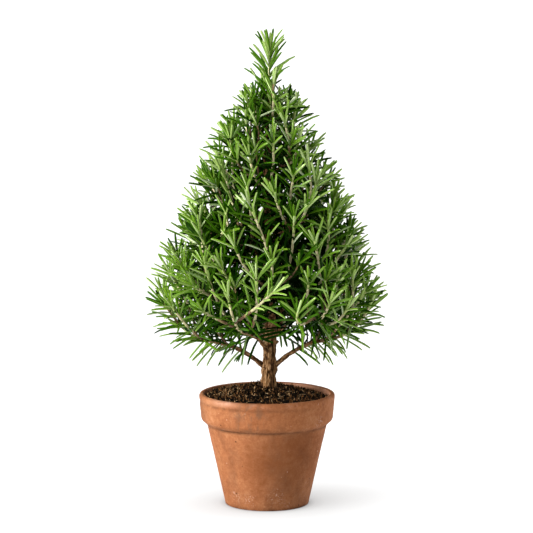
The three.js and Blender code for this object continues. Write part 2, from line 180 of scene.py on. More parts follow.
# Crown outline, as the radius that the needle tips reach at each height.
CROWN_TIP_Z = 488.0
CROWN_WIDEST_Z = 222.0
CROWN_RADIUS = 124.0
CROWN_TOP_RADIUS = 11.0
CROWN_SKIRT_DEPTH = 94.0
SHOULDER_Z = 440.0
SHOULDER_RADIUS = 18.0
SHOULDER_SLOPE = 1.1

# Boughs, in opposite pairs up the trunk, with rise and radius for the lowest and the highest.
BOUGH_PAIRS = 13
LOWEST_BOUGH_Z = 138.0
PAIR_SPACING = 15.0
PAIR_SPACING_GROWTH = 0.45
PAIR_TURN = math.radians(68.75)
HEADING_JITTER = math.radians(9)
BOUGH_RISE = (82.0, 42.0)
RISE_JITTER = 0.1
BOUGH_SWAY = math.radians(14)
BOUGH_INSET = 14.0
BOUGH_LIFT = (1.27, -0.2, -3.12, 3.1)
PAIRS_BARE_AT_FOOT = 7
BARE_SHARE = 0.29
BOUGH_RADIUS = (2.4, 1.1)
BARE_TAPER = 0.87
BOUGH_TIP_RADIUS = 0.9
BOUGH_SIDES = 14
BOUGH_RING_STEP = 1.1
BOUGH_LEAST_RINGS = 12
BARK_ENDS_AT = 0.5
BOUGH_SLIMMING = 0.94
BOUGH_COLLAR = 0.2
BOUGH_COLLAR_LENGTH = 7.0
BOUGH_COLLAR_FADING = 3.0
BOUGH_NODE_STEP = 9.0
BOUGH_NODE_WIDTH = 1.1
BOUGH_BARK = 0.16
BOUGH_BARK_STEP = 6.0
BOUGH_BARK_SHIFT = 17

# Side shoots of a mass, with count and length for the lowest and the highest, the leader, and the space
# that each mass keeps to.
SHOOT_COUNT = (7, 2)
FIRST_SHOOT_AT = 0.3
LAST_SHOOT_AT = 0.86
SHOOT_PLACE_JITTER = 0.3
SHOOT_LENGTH = (72.0, 46.0)
SHOOT_LENGTH_AT_TIP = 0.85
SHOOT_LENGTH_JITTER = 0.25
SHOOT_SHORTENINGS = (1.0, 0.8, 0.62, 0.46)
SHOOT_SPREAD = math.radians(58)
SHOOT_ROLLS = tuple(math.radians(angle) for angle in (10, 170, 90))
SHOOT_BEND_AT = 0.5
SHOOT_CLIMB = 1.7
SHOOT_INSET = 6.0
SHOOT_CLEARANCE = 2.6
SHOOT_TRIALS = 4
LEADER_LENGTH = 48.0
SPACE_STEPS = 10
SPACE_FROM = 0.12
UPRIGHT_BELOW = 0.2
PATH_STEP = 1e-3
PATH_SPOTS = 33
TRUNK_MARKS = 19
BARE_MARKS = 5

# Growth beyond the solids: shoots carried on to the outline, more of them where the crown would be bare,
# and short dark twigs deep inside.
LONGEST_SHOOT = 88.0
TIP_INSET = 16.0
GROWTH_STEP = 3.0
OUTLINE_SPOTS = 108
OUTLINE_STEPS = 200
FIRST_SPOT_TURN = math.radians(45)
ADDED_SPOTS = ((-46.0, -76.0, 256.0),)
LOWEST_SPOT_Z = 206.0
HIGHEST_SPOT_Z = 408.0
SPOT_JITTER = 6.0
SPOT_SPACING = 19.0
SPOT_REACH = 40.0
LEAST_CLIMB = 12.0
FILL_FEET = (0.2, 0.92, 19)
FILL_LENGTH = 58.0
FILL_LEAST_LENGTH = 34.0
FILL_TOO_SHORT = 100.0
FILL_SLOPE = 1.3
FILL_SLOPE_WEIGHT = 14.0
FILL_BEND_AT = 0.6
FINE_SHOOTS_BELOW = 0.5
FINE_SHOOT_AT = (0.14, 0.7)
FINE_LENGTH = 0.74
FINE_ROLL = math.radians(55)
FINE_CLEARANCE = 0.6
TRUNK_SHOOTS = 9
TRUNK_SHOOTS_AT = (0.14, 0.74)
TRUNK_SHOOT_LENGTH = 40.0
CREST_SHOOTS = 4
CREST_FEET = (0.8, 0.9)
CREST_FIRST = 0.25
CREST_REACH = 14.0
CREST_RISE = 34.0
CREST_JITTER = 0.15
CREST_BEND = (0.8, 0.3)
# Keys that chance and the tints go by: a step from shoot to shoot, and the first of each further kind.
SHOOT_KEYS = 40
FINE_KEY = 59
TRUNK_KEYS = 900
CREST_KEYS = 1100
FILL_KEYS = 1200

# Twigs: where their needles start, their radius at foot and tip, and where each colour starts.
STEM_STARTS = {"bough": 0.12, "leader": 0.05, "shoot": 0.08, "fine": 0.1, "trunk": 0.2, "crest": 0.15,
               "fill": 0.1}
SHOOT_RADII = (1.5, 1.2)
INNER_RADII = (1.0, 0.65)
NEEDLES_BEFORE_STEM = 0.08
LEADER_END = 0.92
LEAST_STEM_END = 0.5
STEM_SHORTENING = 0.02
TWIG_SIDES = 8
TWIG_STEP = 2.5
TWIG_LEAST_RINGS = 3
TWIG_SWELLING = 0.12
INNER_SPANS = (("woody", 0.0), ("tan", 0.6))
SHOOT_SPANS = (("woody", 0.0), ("tan", 0.26), ("cream", 0.44), ("green", 0.88))
TWIG_SPANS = {
    "leader": (("woody", 0.0), ("cream", 0.3), ("green", 0.6)),
    "bough": (("tan", BARK_ENDS_AT - 0.02), ("cream", 0.68), ("green", 0.93)),
    "fine": INNER_SPANS,
    "trunk": INNER_SPANS,
}
TWIG_COLOURS = {"woody": (0.12, 0.06, 0.027), "tan": (0.25, 0.155, 0.07), "cream": (0.58, 0.52, 0.29),
                "green": (0.36, 0.43, 0.13)}

# Needles: their sizes, places along a stem and stance. Pairs are for foot and tip, or for least and most.
NEEDLE_LENGTH = 31.0
NEEDLE_WIDTH = 2.3
NEEDLE_THICKNESS = 2.0
NEEDLE_STATIONS = ((0.0, 0.5), (0.12, 0.82), (0.38, 1.0), (0.76, 1.0), (0.95, 0.78), (1.0, 0.4))
NEEDLE_SECTION = ((-1.0, -0.12), (-0.6, 0.45), (0.0, 0.16), (0.6, 0.45), (1.0, -0.12), (0.0, -0.48))
TOP_FACES = 4
NODE_PITCH = 6.5
NODE_PITCHES = {"leader": 3.9, "bough": 6.0, "fine": 8.4, "trunk": 8.4}
NODE_CROWDING = 0.8
NODE_OFFSET = 0.4
LEAST_NODES = 3
NEEDLE_SPLAY = (math.radians(66), math.radians(32))
UPRIGHT_SPLAY = (math.radians(44), math.radians(22))
SPLAY_CLOSING = 1.1
SPLAY_JITTER = 0.16
THREES = 0.3
LEADER_THREES = 0.9
TURN_JITTER = 0.3
LENGTH_ALONG = (1.0, 0.84)
LENGTH_JITTER = (0.82, 1.1)
WIDTH_JITTER = (0.8, 1.22)
DROOP_ALONG = (0.24, 0.15)
DROOP_JITTER = 0.1
ROLL_JITTER = 0.45
SMALL_NEEDLES = 0.3
SMALL_LENGTH = (0.36, 0.6)
SMALL_SPLAY = 0.6
TUFT_NEEDLES = 5
TUFT_SPLAY_DEGREES = (5, 34)
TUFT_LENGTH = (0.62, 0.84)
TUFT_JITTER = (0.85, 1.1)
TUFT_STEP = 0.6
TUFT_DROOP = 0.09
NEEDLE_FITS = (1.0, 0.86, 0.72)
NEEDLE_ROOT = 0.5
NEEDLES_PAST_OUTLINE = (4.0, 11.0)
HANGING_BELOW_Z = 190.0
HANGING_FARTHER = 7.0
BARE_TRUNK_Z = 166.0
BARE_TRUNK_REACH = 26.0
BARE_FRONT_Z = 180.0
BARE_FRONT_HALF_WIDTH = 17.0

# Needle tints by depth under the crown's outline: young at the tips, then fresh, grown, old and inner,
# darker with depth partly by age and partly as painted shade.
TINT_AT = 0.55
# Needles near the crown's underside count as deep, so they get painted shade.
UNDERSIDE_DEPTH = 31.0
SPRAY_JITTER = 8.0
DEPTH_JITTER = 11.0
INNER_DEPTH = 8.0
TIP_SHARE = 0.9
YOUNG_DEPTH = 18.0
YOUNG_CHANCE = 0.6
FRESH_DEPTH = 12.0
GROWN_DEPTH = 27.0
GREY_CHANCE = 0.14
OLD_DEPTH = 48.0
# Painted light: needles near the top and on the side the key light comes from get lighter tints.
TOP_PAINTED_LIGHT = 3.5
TOP_FROM_Z = 350.0
TOP_DEPTH = 70.0
LIT_SIDE = (-0.9, -0.45, 0.0)
LIT_SIDE_PAINTED_LIGHT = 17.0
LIT_BELOW_Z = 285.0
LIT_DEPTH = 50.0
HANGING_DEPTH = 9.0
# Each tint as its top, its underside, how much it shines and the colour of the shine.
LEAF_SHINE = (0.75, 1.0, 0.3)
PALE_SHINE = (0.95, 1.0, 0.7)
NEEDLE_COLOURS = {
    # Inner and old needles are near black partly as painted shade.
    "inner": ((0.0012, 0.0078, 0.0003), (0.0036, 0.0125, 0.0006), 0.02, LEAF_SHINE),
    "old": ((0.0058, 0.031, 0.0004), (0.0145, 0.05, 0.001), 0.05, LEAF_SHINE),
    "grown": ((0.032, 0.104, 0.0008), (0.083, 0.18, 0.01), 0.2, LEAF_SHINE),
    "fresh": ((0.098, 0.218, 0.003), (0.305, 0.44, 0.11), 0.75, PALE_SHINE),
    "young": ((0.15, 0.288, 0.012), (0.42, 0.55, 0.21), 0.95, PALE_SHINE),
    "grey": ((0.1, 0.195, 0.03), (0.58, 0.66, 0.43), 1.2, PALE_SHINE),
}
UNDERSIDE_SHINE = 0.15

# Sockets of a node that mixes colours: its share, its two colours, and the result.
MIX_INPUTS = (0, 6, 7)
MIX_OUTPUT = 2

# Surface grain of needles, twigs, bark, soil and floor as scale, strength and depth, and how rough each is.
NEEDLE_GRAIN = (420.0, 0.25, 0.0004)
TWIG_GRAIN = (900.0, 0.5, 0.0004)
LIMB_GRAIN = (9.0, 0.7, 0.0006)
SOIL_GRAIN = (1500.0, 0.8, 0.0008)
FLOOR_GRAIN = (40.0, 0.02, 0.001)
GRAIN_DETAIL = 5.0
SHEEN_STOPS = (0.3, 0.7)
NEEDLE_ROUGHNESS = (0.24, 0.44)
DULL_ROUGHNESS = (0.6, 0.8)
BARK_ROUGHNESS = (0.95, 0.75)
SOIL_MATTNESS = (0.98, 0.85)
FLOOR_ROUGHNESS = 0.9
BARK_SHINE = 0.1
CLAY_SHINE = 0.12
SOIL_SHINE = 0.08

# Bark colours from the depth of a fissure to the top of a ridge, the near-black fissures partly painted
# shade, and its grey weathering.
BARK_TONES = ((0.0, (0.004, 0.0016, 0.0007)), (0.3, (0.029, 0.012, 0.0036)), (0.55, (0.1, 0.044, 0.0155)),
              (0.8, (0.23, 0.116, 0.046)), (1.0, (0.39, 0.23, 0.113)))
BARK_STRANDS = (3.2, 6.0, 0.65, 0.4)
BARK_STRAND_WEIGHT = 0.9
BARK_SPAN = (0.35, 1.45)
BARK_WEATHER = ((160.0, 3.0), (0.55, 0.0), (0.8, 0.3))
WEATHERED_BARK = (0.15, 0.105, 0.065)

# Clay colours: mottled red, what lies on it, and painted light and shade.
CLAY_TONES = ((0.38, (0.21, 0.068, 0.024)), (0.5, (0.292, 0.107, 0.041)), (0.62, (0.378, 0.163, 0.072)))
DAMP_AND_SHADE_CLAY = (0.13, 0.036, 0.008)
SMEARED_CLAY = (0.13, 0.05, 0.022)
SMUDGED_CLAY = (0.13, 0.068, 0.04)
SHADED_CLAY = (0.13, 0.045, 0.017)
# Inner wall painted shade on the left and painted light on the right.
PAINTED_SHADE_WALL = (0.16, 0.06, 0.027)
PAINTED_LIGHT_WALL = (0.53, 0.26, 0.16)
GROOVE_DARKENING = (0.14, 0.05, 0.02)
PALE_DUST = (0.52, 0.29, 0.2)
CHALK = (0.6, 0.45, 0.36)
PALE_SPECK = (0.58, 0.42, 0.33)
BAND_AND_FOOT_SHADE = (0.05, 0.018, 0.007)
PIT = (0.09, 0.03, 0.012)
# Patterns on the clay: a noise by its scale, detail, roughness and distortion, and the stops of its mask.
CLAY_MOTTLING = (((24.0, 3.0, 0.5, 0.5), 0.34), ((190.0, 5.0, 0.65), 0.3), ((520.0, 3.0, 0.7), 0.24))
CLAY_LINES = (1.0, 4.0, 0.6)
CLAY_LINE_WEIGHT = 0.12
CLAY_GRAIN = (900.0, 4.0, 0.6)
CLAY_RELIEF = (0.6, 0.8, -1.0)
CLAY_BUMP = {"Strength": 0.4, "Distance": 0.0006}
SMEARS = ((1.0, 5.0, 0.65, 0.3), (0.5, 0.0), (0.72, 0.5))
DRIPS = ((1.0, 4.0, 0.6, 0.6), (0.46, 0.0), (0.62, 0.65))
WALL_LIGHT_PATCHES = ((70.0, 5.0, 0.65), (0.3, 0.45), (0.7, 0.95))
GROOVE_DARK_PATCHES = ((120.0, 4.0, 0.6), (0.4, 0.1), (0.6, 0.75))
DUST_PATCHES = ((50.0, 6.0, 0.65, 0.4), (0.5, 0.0), (0.68, 0.5))
CHALK_FLECKS = ((560.0, 4.0, 0.7), (0.54, 0.0), (0.66, 0.55))
CHALK_CLUSTERS = ((62.0, 3.0, 0.6, 0.5), (0.52, 0.0), (0.66, 0.5))
SPECKS = ((260.0, 2.0, 0.5), (0.73, 0.0), (0.79, 0.6))
SHADE_BREAKS = ((42.0, 4.0, 0.65), (0.38, 0.35), (0.58, 1.0))
# Painted shade by height: at the foot, over the lower body and under the band.
SHADE_BY_HEIGHT = ((0.0, 0.85), (0.03, 0.22), (0.1, 0.15), (0.3, 0.0), (0.672, 0.0), (0.689, 0.5),
                   (0.698, 0.85), (0.71, 0.25), (0.735, 0.0))
PIT_SCALE = 85.0
PIT_CHOICE = ((0.5, 0.0), (0.54, 1.0))
PIT_SIZE = ((0.05, 1.0), (0.1, 0.0))
CLAY_RUBBING = ((0.4, 0.92), (0.6, 0.72))
# How patterns are drawn out on the clay, and the spans along X or up the pot, in metres, of its masks.
TURNED = (10.0, 10.0, 190.0)
DRAWN = (44.0, 44.0, 22.0)
DRIPPED = (190.0, 190.0, 80.0)
WALL_LIGHT_SPAN = (-0.03, 0.025)
BELOW_BAND = (BAND_SLANT_FOOT * MM + 0.001, BAND_SLANT_FOOT * MM - 0.003)
RIM_SPAN = (0.1085, 0.1135)
CHALK_SPAN = (0.03, 0.008)
SHADE_SPAN = (0.0, 0.12)
# Marks on the clay: where each is and how far it reaches, in metres, and how strong it is.
MARK_EDGE = (45.0, 4.0, 0.6)
MARK_RAGGEDNESS = 0.35
MARK_FADE = (1.1, 0.4)
# The damp patch is a damp stain that also paints shade on the body's front right.
DAMP_AND_SHADE_PATCH = ((0.022, -0.058, 0.05), 0.07, 0.6)
BAND_SMUDGE = ((-0.017, -0.066, 0.1), 0.03, 1.0)
BAND_SHADE = ((-0.069, -0.012, 0.1), 0.034, 0.5)
RIM_DUST = ((-0.045, -0.053, 0.114), 0.03, 0.3)
CHALK_MARKS = (((-0.033, -0.033, 0.013), 0.012, 0.8), ((-0.018, -0.043, 0.011), 0.011, 0.8),
               ((0.011, -0.047, 0.018), 0.011, 0.8), ((0.053, -0.042, 0.092), 0.011, 0.8))

# Soil colours, dark and pale, and the scale of their patches. Crumbs by number to the square metre,
# least and largest size, colours and seed.
SOIL_PATCHES = (4.0, 0.6)
SOIL_STOPS = (0.35, 0.68)
SOIL_COLOURS = ((0.003, 0.0018, 0.001), (0.016, 0.009, 0.004), 220.0)
FIBRE_COLOURS = ((0.22, 0.13, 0.06), (0.42, 0.29, 0.16), 400.0)
SLIVER_COLOURS = ((0.006, 0.003, 0.0012), (0.05, 0.024, 0.009), 400.0)
CRUMB_PATCHES = 330.0
CRUMB_KINDS = {
    "soil_crumbs_dark": (125000.0, (1.0, 0.8, 0.7), (3.0, 2.3, 1.8), (0.0015, 0.0009, 0.0004),
                         (0.013, 0.0068, 0.0026), 21),
    "soil_crumbs_brown": (76000.0, (1.6, 0.4, 0.35), (5.2, 1.05, 0.8), (0.042, 0.0175, 0.006),
                          (0.2, 0.093, 0.032), 22),
    "soil_chips_tan": (14000.0, (1.2, 0.4, 0.35), (4.6, 0.95, 0.75), (0.2, 0.1, 0.036),
                       (0.65, 0.42, 0.22), 23),
}

# Studio: the floor's tone, and its glow by distance from the pot's axis, fading near the pot to paint a
# contact shadow; the light and the camera.
FLOOR_HALF = 40.0
FLOOR_TONE = ((3.0, 2.0), (0.3, 0.245), (0.7, 0.255))
FLOOR_GLOW_REACH = 0.2
FLOOR_GLOW_WITH_SHADOW = ((0.205, 0.02), (0.222, 0.4), (0.25, 0.55), (0.3, 0.63), (0.42, 0.71), (0.65, 0.81),
              (1.0, 0.92))
# Lamps as the way to each, its strength and how many degrees it spreads.
LAMPS = {
    "key_light": ((-0.87, -0.4, 0.06), 8.4, 50),
    "top_light": ((-0.4, -0.25, 1.0), 2.7, 80),
    "rim_light": ((0.88, 0.36, 0.28), 2.0, 60),
}
WORLD_STRENGTH = 0.14
CAMERA_PLACE = (0.0, -2.5, 0.557)
CAMERA_TURN = (math.radians(90 - 7.086), 0.0, math.radians(0.012))
CAMERA_LENS = 166.1
CAMERA_SENSOR = 36.0
CAMERA_SIGHT = 200.0


def lerp(first, second, share):
    return first + (second - first) * share


def clip_share(value):
    return min(1.0, max(0.0, value))


def chance(*keys):
    """A share from 0 to 1 that looks random and is always the same for the same keys."""
    mixed = SEED + sum(key * stride for key, stride in zip(keys, CHANCE_STRIDES))
    wave = math.sin(mixed) * CHANCE_SPREAD
    return wave - math.floor(wave)


def swing(*keys):
    return 2 * chance(*keys) - 1


def unit(vector):
    return vector / np.linalg.norm(vector)


def turns(count):
    """Angles spread evenly round a circle."""
    return np.arange(count) * FULL_TURN / count


def spot_at(radius, turn, z=0.0):
    return np.array([radius * math.cos(turn), radius * math.sin(turn), z])


def places_round(radius, turn, height):
    """Places from arrays of radius, turn round the axis and height."""
    x = radius * np.cos(turn)
    return np.stack([x, radius * np.sin(turn), np.broadcast_to(height, x.shape)], axis=-1).reshape(-1, 3)


def lattice(cells, seed):
    """A share from 0 to 1 for each cell of a cubic lattice, always the same."""
    wave = np.sin(cells @ np.array(CHANCE_STRIDES) + seed) * CHANCE_SPREAD
    return wave - np.floor(wave)


def rough(points, seed):
    """Smooth noise from -1 to 1 at each point, with bumps about one unit wide."""
    cell = np.floor(points)
    part = points - cell
    part = part * part * (3 - 2 * part)
    total = np.zeros(len(points))
    for corner in np.ndindex(2, 2, 2):
        weight = np.prod(np.where(np.array(corner) == 1, part, 1 - part), axis=1)
        total += weight * lattice(cell + np.array(corner), seed)
    return 2 * total - 1


def rough_round(turn, height, across, tall, seed):
    """Smooth noise on a round wall: across sets how many bumps go round it, and tall how tall they are."""
    return rough(places_round(across, turn, height / tall), seed).reshape(turn.shape)


# The plan of the limbs.


def crown_radius(z):
    """Radius of the crown's outline at a height: a blunt cone over a rounded skirt."""
    if z < CROWN_WIDEST_Z:
        down = min(1.0, (CROWN_WIDEST_Z - z) / CROWN_SKIRT_DEPTH)
        return CROWN_RADIUS * math.sqrt(1 - down * down)
    share = clip_share((CROWN_TIP_Z - z) / (CROWN_TIP_Z - CROWN_WIDEST_Z))
    return lerp(CROWN_TOP_RADIUS, CROWN_RADIUS, share)


def from_axis(spot):
    return math.hypot(spot[0], spot[1])


def past_outline(spot):
    """How far a spot lies outside the crown's outline, or inside it where the value is below nothing."""
    return from_axis(spot) - crown_radius(spot[2])


def above_underside(spot):
    """How far a spot lies above the crown's underside, which the lowest boughs follow."""
    return spot[2] - lerp(LOWEST_BOUGH_Z, CROWN_WIDEST_Z, min(1.0, from_axis(spot) / CROWN_RADIUS))


def past_shoulder(spot):
    """How far a spot lies outside the shoulder, which keeps side shoots low round the leader."""
    return from_axis(spot) - SHOULDER_RADIUS - SHOULDER_SLOPE * max(0.0, SHOULDER_Z - spot[2])


class TrunkPath:
    """Middle line of the trunk: nearly upright, with one slow sway."""

    def points(self, shares):
        sway = TRUNK_SWAY * np.sin(FULL_TURN * shares)
        return np.stack([TRUNK_LEAN + sway, -sway, lerp(TRUNK_FOOT_Z, TRUNK_TIP_Z, shares)], axis=-1)


class BoughPath:
    """Middle line of a bough and its stem: up off the trunk, out, then up to the tip."""

    def __init__(self, root, heading, reach, rise, sway):
        self.root, self.heading, self.reach = root, heading, reach
        self.rise, self.sway = rise, sway

    def points(self, shares):
        heading = self.heading + self.sway * shares**2
        out = self.reach * shares
        lift = sum(part * shares ** (power + 1) for power, part in enumerate(BOUGH_LIFT))
        steps = np.stack([out * np.cos(heading), out * np.sin(heading), self.rise * lift], axis=-1)
        return self.root + steps


class BentPath:
    """A bend that leaves its start one way and reaches its end another."""

    def __init__(self, start, bend, end):
        self.start, self.bend, self.end = start, bend, end

    def points(self, shares):
        t = np.asarray(shares)[..., None]
        return (1 - t) ** 2 * self.start + 2 * t * (1 - t) * self.bend + t**2 * self.end


def point_on(path, share):
    return path.points(np.array([float(share)]))[0]


def path_length(path, start, end):
    spots = path.points(np.linspace(start, end, PATH_SPOTS))
    return float(np.linalg.norm(np.diff(spots, axis=0), axis=1).sum())


def across_path(path, at):
    """The direction along a path at a share of it, one to its side and one over it."""
    ends = path.points(np.array([max(0.0, at - PATH_STEP), min(1.0, at + PATH_STEP)]))
    along = unit(ends[1] - ends[0])
    whole = point_on(path, 1) - point_on(path, 0)
    level = np.cross(whole, UP)
    side = level if np.linalg.norm(level) > UPRIGHT_BELOW * np.linalg.norm(whole) else RIGHT
    side = unit(side - along * (side @ along))
    return along, side, np.cross(side, along)


def up_trunk(z):
    """The share of the trunk's height that a height is at."""
    return (z - TRUNK_FOOT_Z) / TRUNK_LENGTH


def trunk_radius(share):
    flare = ROOT_FLARE * np.exp(-np.maximum(share * TRUNK_LENGTH, 0) / ROOT_FLARE_HEIGHT)
    return lerp(TRUNK_FOOT_RADIUS, TRUNK_TIP_RADIUS, share) + flare


class Mass:
    """One mass of foliage: the bough that carries it and the space that belongs to it."""

    def __init__(self, name, key, up, path, radius, stem_from):
        self.name, self.key, self.up = name, key, up
        self.path, self.radius, self.stem_from = path, radius, stem_from
        self.marks = path.points(np.linspace(max(stem_from, SPACE_FROM), 1, SPACE_STEPS + 1))


trunk_path = TrunkPath()


def plan_bough(pair, side):
    up = pair / (BOUGH_PAIRS - 1)
    key = 2 * pair + side
    z = LOWEST_BOUGH_Z + PAIR_SPACING * pair + PAIR_SPACING_GROWTH * pair * pair
    rise = lerp(*BOUGH_RISE, up) * (1 + RISE_JITTER * swing(key, 1))
    reach = crown_radius(z + rise) - BOUGH_INSET
    heading = math.pi * side + PAIR_TURN * pair + (HEADING_JITTER * swing(key, 2) if pair > 0 else 0)
    path = BoughPath(point_on(trunk_path, up_trunk(z)), heading, reach, rise, BOUGH_SWAY * swing(key, 3))
    name = f"{pair + 1:02d}_{'b' if side else 'a'}"
    stem_from = BARE_SHARE if pair < PAIRS_BARE_AT_FOOT else 0
    return Mass(name, key, up, path, lerp(*BOUGH_RADIUS, up), stem_from)


def plan_leader():
    """The leading shoot carries straight on from the trunk."""
    foot = point_on(trunk_path, 1)
    tip = foot + UP * LEADER_LENGTH + RIGHT * TRUNK_LEAN
    return Mass("tip", 2 * BOUGH_PAIRS, 1, BentPath(foot, (foot + tip) / 2, tip), TRUNK_TIP_RADIUS, 0)


boughs = [plan_bough(pair, side) for pair in range(BOUGH_PAIRS) for side in (0, 1)]
bare_boughs = boughs[: 2 * PAIRS_BARE_AT_FOOT]
leader = plan_leader()
masses = boughs + [leader]
mass_marks = np.array([mass.marks for mass in masses])
trunk_marks = trunk_path.points(np.linspace(0, 1, TRUNK_MARKS))[None]
bare_marks = np.array([bough.path.points(np.linspace(0, BARE_SHARE, BARE_MARKS)) for bough in bare_boughs])
bare_radii = np.array([bough.radius for bough in bare_boughs])


def distances(spot, marks):
    """Least distance from a spot to each of several lines, given by their marks."""
    start = marks[:, :-1]
    run = marks[:, 1:] - start
    share = np.clip(((spot - start) * run).sum(-1) / (run * run).sum(-1), 0, 1)
    return np.linalg.norm(spot - start - share[..., None] * run, axis=-1).min(axis=1)


def has_room(mass, spot, margin):
    """Whether a twig of a mass may pass through a spot: in its own space and clear of the limbs."""
    gaps = distances(spot, mass_marks)
    own = masses.index(mass)
    if np.delete(gaps, own).min() <= gaps[own] + 2 * margin:
        return False
    if distances(spot, trunk_marks)[0] < trunk_radius(clip_share(up_trunk(spot[2]))) + margin:
        return False
    return bool((distances(spot, bare_marks) > bare_radii + margin).all())


def climb_at(spot):
    """The way a shoot climbs at a spot: up and out."""
    return unit(unit(spot * LEVEL) + SHOOT_CLIMB * UP)


def shoot_from(mass, path, at, roll, length, clearance):
    """A shoot that leaves a stem to one side, bends up, and is shortened until it has room in the crown."""
    start = point_on(path, at)
    along, side, over = across_path(path, at)
    away = side * math.cos(roll) + over * math.sin(roll)
    leaving = along * math.cos(SHOOT_SPREAD) + away * math.sin(SHOOT_SPREAD)
    climbing = climb_at(start)
    for shortening in SHOOT_SHORTENINGS:
        reach = length * shortening
        bend = start + leaving * reach * SHOOT_BEND_AT
        end = bend + climbing * reach * (1 - SHOOT_BEND_AT)
        shoot = BentPath(start, bend, end)
        spots = shoot.points(np.linspace(0, 1, SHOOT_TRIALS + 1)[1:])
        roomy = mass is None or all(has_room(mass, spot, clearance) for spot in spots)
        if roomy and past_outline(end) < -SHOOT_INSET:
            return shoot
    return None


def outline_spots():
    """Spots spread evenly over the crown's outline by height and golden turns, clear of boughs' tips."""
    heights = np.linspace(LOWEST_SPOT_Z, HIGHEST_SPOT_Z, OUTLINE_STEPS)
    radii = np.array([crown_radius(z) for z in heights])
    areas = np.cumsum((radii[1:] + radii[:-1]) * np.hypot(np.diff(radii), np.diff(heights)))
    areas = np.concatenate([[0], areas])
    tips = np.array([point_on(mass.path, 1) for mass in masses])
    spots = [np.array(spot) for spot in ADDED_SPOTS]
    for number in range(OUTLINE_SPOTS):
        z = float(np.interp((number + 0.5) / OUTLINE_SPOTS * areas[-1], areas, heights))
        z += SPOT_JITTER * swing(number, 21)
        radius = crown_radius(z) - TIP_INSET
        jitter = SPOT_JITTER * swing(number, 22) / max(radius, SPOT_JITTER)
        spot = spot_at(radius, FIRST_SPOT_TURN + GOLDEN_TURN * number + jitter, z)
        if past_shoulder(spot) < -TIP_INSET and np.linalg.norm(tips - spot, axis=1).min() > SPOT_SPACING:
            spots.append(spot)
    return spots


def carried_on(shoot, spots):
    """A shoot of the solids, grown on as it climbs to the nearest free spot of the outline, or nothing."""
    tip = shoot.end
    climbing = unit(shoot.end - shoot.bend)
    while past_outline(tip) < -TIP_INSET and np.linalg.norm(tip - shoot.start) < LONGEST_SHOOT:
        tip = tip + climbing * GROWTH_STEP
    misfits = []
    for spot in spots:
        fits = np.linalg.norm(spot - shoot.start) < LONGEST_SHOOT and spot[2] > shoot.start[2] + LEAST_CLIMB
        misfits.append(np.linalg.norm(spot - tip) if fits else 2 * SPOT_REACH)
    if not spots or min(misfits) > SPOT_REACH:
        return None
    return BentPath(shoot.start, shoot.bend, spots.pop(int(np.argmin(misfits))))


def plan_fills(spots):
    """Shoots that grow from the boughs to the spots of the outline that no other shoot has taken."""
    fills = []
    feet = np.concatenate([bough.path.points(np.linspace(*FILL_FEET)) for bough in boughs])
    for spot in spots:
        away = spot - feet
        lengths = np.linalg.norm(away, axis=1)
        slopes = away[:, 2] / np.maximum(np.linalg.norm(away[:, :2], axis=1), 1e-6)
        misfit = np.abs(lengths - FILL_LENGTH) + FILL_SLOPE_WEIGHT * np.abs(slopes - FILL_SLOPE)
        misfit[lengths < FILL_LEAST_LENGTH] += FILL_TOO_SHORT
        foot = feet[int(np.argmin(misfit))]
        bend = spot - climb_at(spot) * FILL_BEND_AT * np.linalg.norm(spot - foot)
        fills.append(BentPath(foot, bend, spot))
    return fills


class Stem:
    """A stem that bears needles, from a share of its path on."""

    def __init__(self, path, kind, key, mass=None):
        self.path, self.kind, self.key, self.mass = path, kind, key, mass
        self.inner = kind in ("fine", "trunk")
        self.radii = INNER_RADII if self.inner else SHOOT_RADII
        self.start, self.end = STEM_STARTS[kind], 1.0
        if kind == "leader":
            self.radii = (mass.radius * BARE_TAPER, BOUGH_TIP_RADIUS)
            self.end = LEADER_END
        elif kind == "bough" and mass.stem_from > 0:
            self.start = mass.stem_from - NEEDLES_BEFORE_STEM
        least_end = LEADER_END if kind == "leader" else LEAST_STEM_END
        while self.end > least_end and past_outline(point_on(path, self.end)) > -TIP_INSET:
            self.end -= STEM_SHORTENING
        self.length = path_length(path, self.start, self.end)


def plan_side_shoots(bough, spots):
    """The shoots of one bough: those that are carried on to the outline, and finer ones that stay inside."""
    stems = []
    base = lerp(*SHOOT_LENGTH, bough.up)
    count = round(lerp(*SHOOT_COUNT, bough.up))
    for number in range(1, count + 1):
        share = (number - 0.5 + SHOOT_PLACE_JITTER * swing(bough.key, number, 1)) / count
        at = lerp(max(bough.stem_from, FIRST_SHOOT_AT), LAST_SHOOT_AT, share)
        length = base * lerp(1, SHOOT_LENGTH_AT_TIP, share)
        length *= 1 + SHOOT_LENGTH_JITTER * swing(bough.key, number, 2)
        roll = SHOOT_ROLLS[number % len(SHOOT_ROLLS)]
        shoot = shoot_from(bough, bough.path, at, roll, length, SHOOT_CLEARANCE)
        if shoot is not None:
            grown = carried_on(shoot, spots)
            key = bough.key + SHOOT_KEYS * number
            stems.append(Stem(shoot, "fine", key) if grown is None else Stem(grown, "shoot", key))
    if bough.up < FINE_SHOOTS_BELOW:
        at = lerp(*FINE_SHOOT_AT, 0.5 + SHOOT_PLACE_JITTER * swing(bough.key, 1, 8))
        length = base * FINE_LENGTH * (1 + SHOOT_LENGTH_JITTER * swing(bough.key, 1, 9))
        shoot = shoot_from(bough, bough.path, at, FINE_ROLL, length, FINE_CLEARANCE)
        if shoot is not None:
            stems.append(Stem(shoot, "fine", bough.key + FINE_KEY))
    return stems


